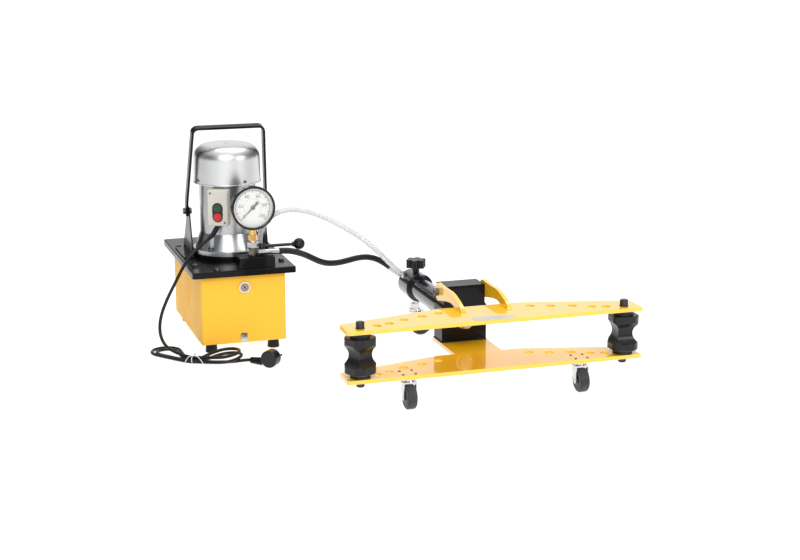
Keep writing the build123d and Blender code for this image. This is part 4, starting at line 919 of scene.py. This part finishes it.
def studio_world():
    """White above, before and behind; darker to both sides, which metal needs."""
    world = bpy.data.worlds.new("studio")
    world.use_nodes = True
    nodes, links = world.node_tree.nodes, world.node_tree.links
    way = nodes.new("ShaderNodeTexCoord").outputs["Generated"]
    parts = []
    for axis in (HEADING.cross(UP), UP):
        dot = nodes.new("ShaderNodeVectorMath")
        dot.operation = "DOT_PRODUCT"
        links.new(way, dot.inputs[0])
        dot.inputs[1].default_value = axis
        size = nodes.new("ShaderNodeMath")
        size.operation = "ABSOLUTE"
        links.new(dot.outputs["Value"], size.inputs[0])
        parts.append(size.outputs[0])
    ramps = []
    for value, stops in (
        (parts[0], ((0.0, 1.0), (0.3, 0.95), (0.52, 0.12), (0.85, 0.08), (1.0, 0.25))),
        (parts[1], ((0.0, 0.0), (0.35, 0.0), (0.8, 0.9), (1.0, 1.0))),
    ):
        made = nodes.new("ShaderNodeValToRGB")
        links.new(value, made.inputs["Fac"])
        elements = made.color_ramp.elements
        while len(elements) < len(stops):
            elements.new(0.5)
        for element, (position, level) in zip(elements, stops):
            element.position = position
            element.color = (level, level, level, 1)
        ramps.append(made.outputs["Color"])
    lighter = nodes.new("ShaderNodeMix")
    lighter.data_type = "RGBA"
    lighter.blend_type = "LIGHTEN"
    lighter.inputs[0].default_value = 1.0
    links.new(ramps[0], lighter.inputs[6])
    links.new(ramps[1], lighter.inputs[7])
    links.new(lighter.outputs[2], nodes["Background"].inputs["Color"])
    nodes["Background"].inputs["Strength"].default_value = 0.95
    scene.world = world


FLOOR_HALF = 60.0               # half the floor's side
ASIDE_FROM, ASIDE_FULL = 0.84, 1.0    # sine of the angle off the view's direction
GREY_FROM, GREY_FULL = 1.15, 2.2      # distance from the object, in metres


def far_aside(s):
    """1 on the floor far to the left and right of the object, and 0 near, before and behind."""
    side = s.node("ShaderNodeVectorMath", {"operation": "DOT_PRODUCT"})
    s.tree.links.new(s.places, side.inputs[0])
    side.inputs[1].default_value = HEADING.cross(UP)
    reach = s.node("ShaderNodeVectorMath", {"operation": "LENGTH"})
    s.tree.links.new(s.places, reach.inputs[0])
    away = s.node("ShaderNodeMath", {"operation": "ABSOLUTE"})
    s.tree.links.new(side.outputs["Value"], away.inputs[0])
    share = s.node("ShaderNodeMath", {"operation": "DIVIDE"})
    s.tree.links.new(away.outputs[0], share.inputs[0])
    s.tree.links.new(reach.outputs["Value"], share.inputs[1])
    sector = s.node("ShaderNodeMapRange", Value=share.outputs[0], From_Min=ASIDE_FROM,
                    From_Max=ASIDE_FULL)
    beyond = s.node("ShaderNodeMapRange", Value=reach.outputs["Value"],
                    From_Min=GREY_FROM, From_Max=GREY_FULL)
    both = s.node("ShaderNodeMath", {"operation": "MULTIPLY"})
    s.tree.links.new(sector.outputs[0], both.inputs[0])
    s.tree.links.new(beyond.outputs[0], both.inputs[1])
    return both.outputs[0]


def studio_floor():
    """White paper floor, greyer far to both sides, which gives the metal its dark edges."""
    mesh = bpy.data.meshes.new("studio_floor")
    h = FLOOR_HALF
    mesh.from_pydata([(-h, -h, 0), (h, -h, 0), (h, h, 0), (-h, h, 0)], [], [(0, 1, 2, 3)])
    floor = bpy.data.objects.new("studio_floor", mesh)
    scene.collection.objects.link(floor)
    floor.location.z = -0.0005
    s = Shader("floor_paper", Specular_IOR_Level=0.0, Emission_Strength=0.9)
    s.link(s.mix(far_aside(s), (1, 1, 1), (0.6, 0.615, 0.62)), "Emission Color")
    s.link(s.mix(s.spread(s.noise(3.0, 2.0), 0.0, 1.0), (0.3, 0.3, 0.3),
                 (0.29, 0.29, 0.29)), "Base Color")
    s.link(s.spread(s.noise(8.0, 2.0), 0.8, 0.9), "Roughness")
    mesh.materials.append(s.material)


def make_studio():
    studio_world()
    studio_floor()
    area_light("key_light", (-1.1, -3.1, 2.1), (0, 0, 0.15), (1.8, 1.3), 46)
    area_light("fill_light", (1.7, -2.4, 1.3), (0.1, 0, 0.1), (1.3, 1.0), 22)
    area_light("top_light", (0.2, 0.6, 2.8), (0, 0, 0), (2.4, 1.8), 32)
    scene.view_settings.view_transform = "Standard"
    scene.view_settings.look = "None"


make_studio()
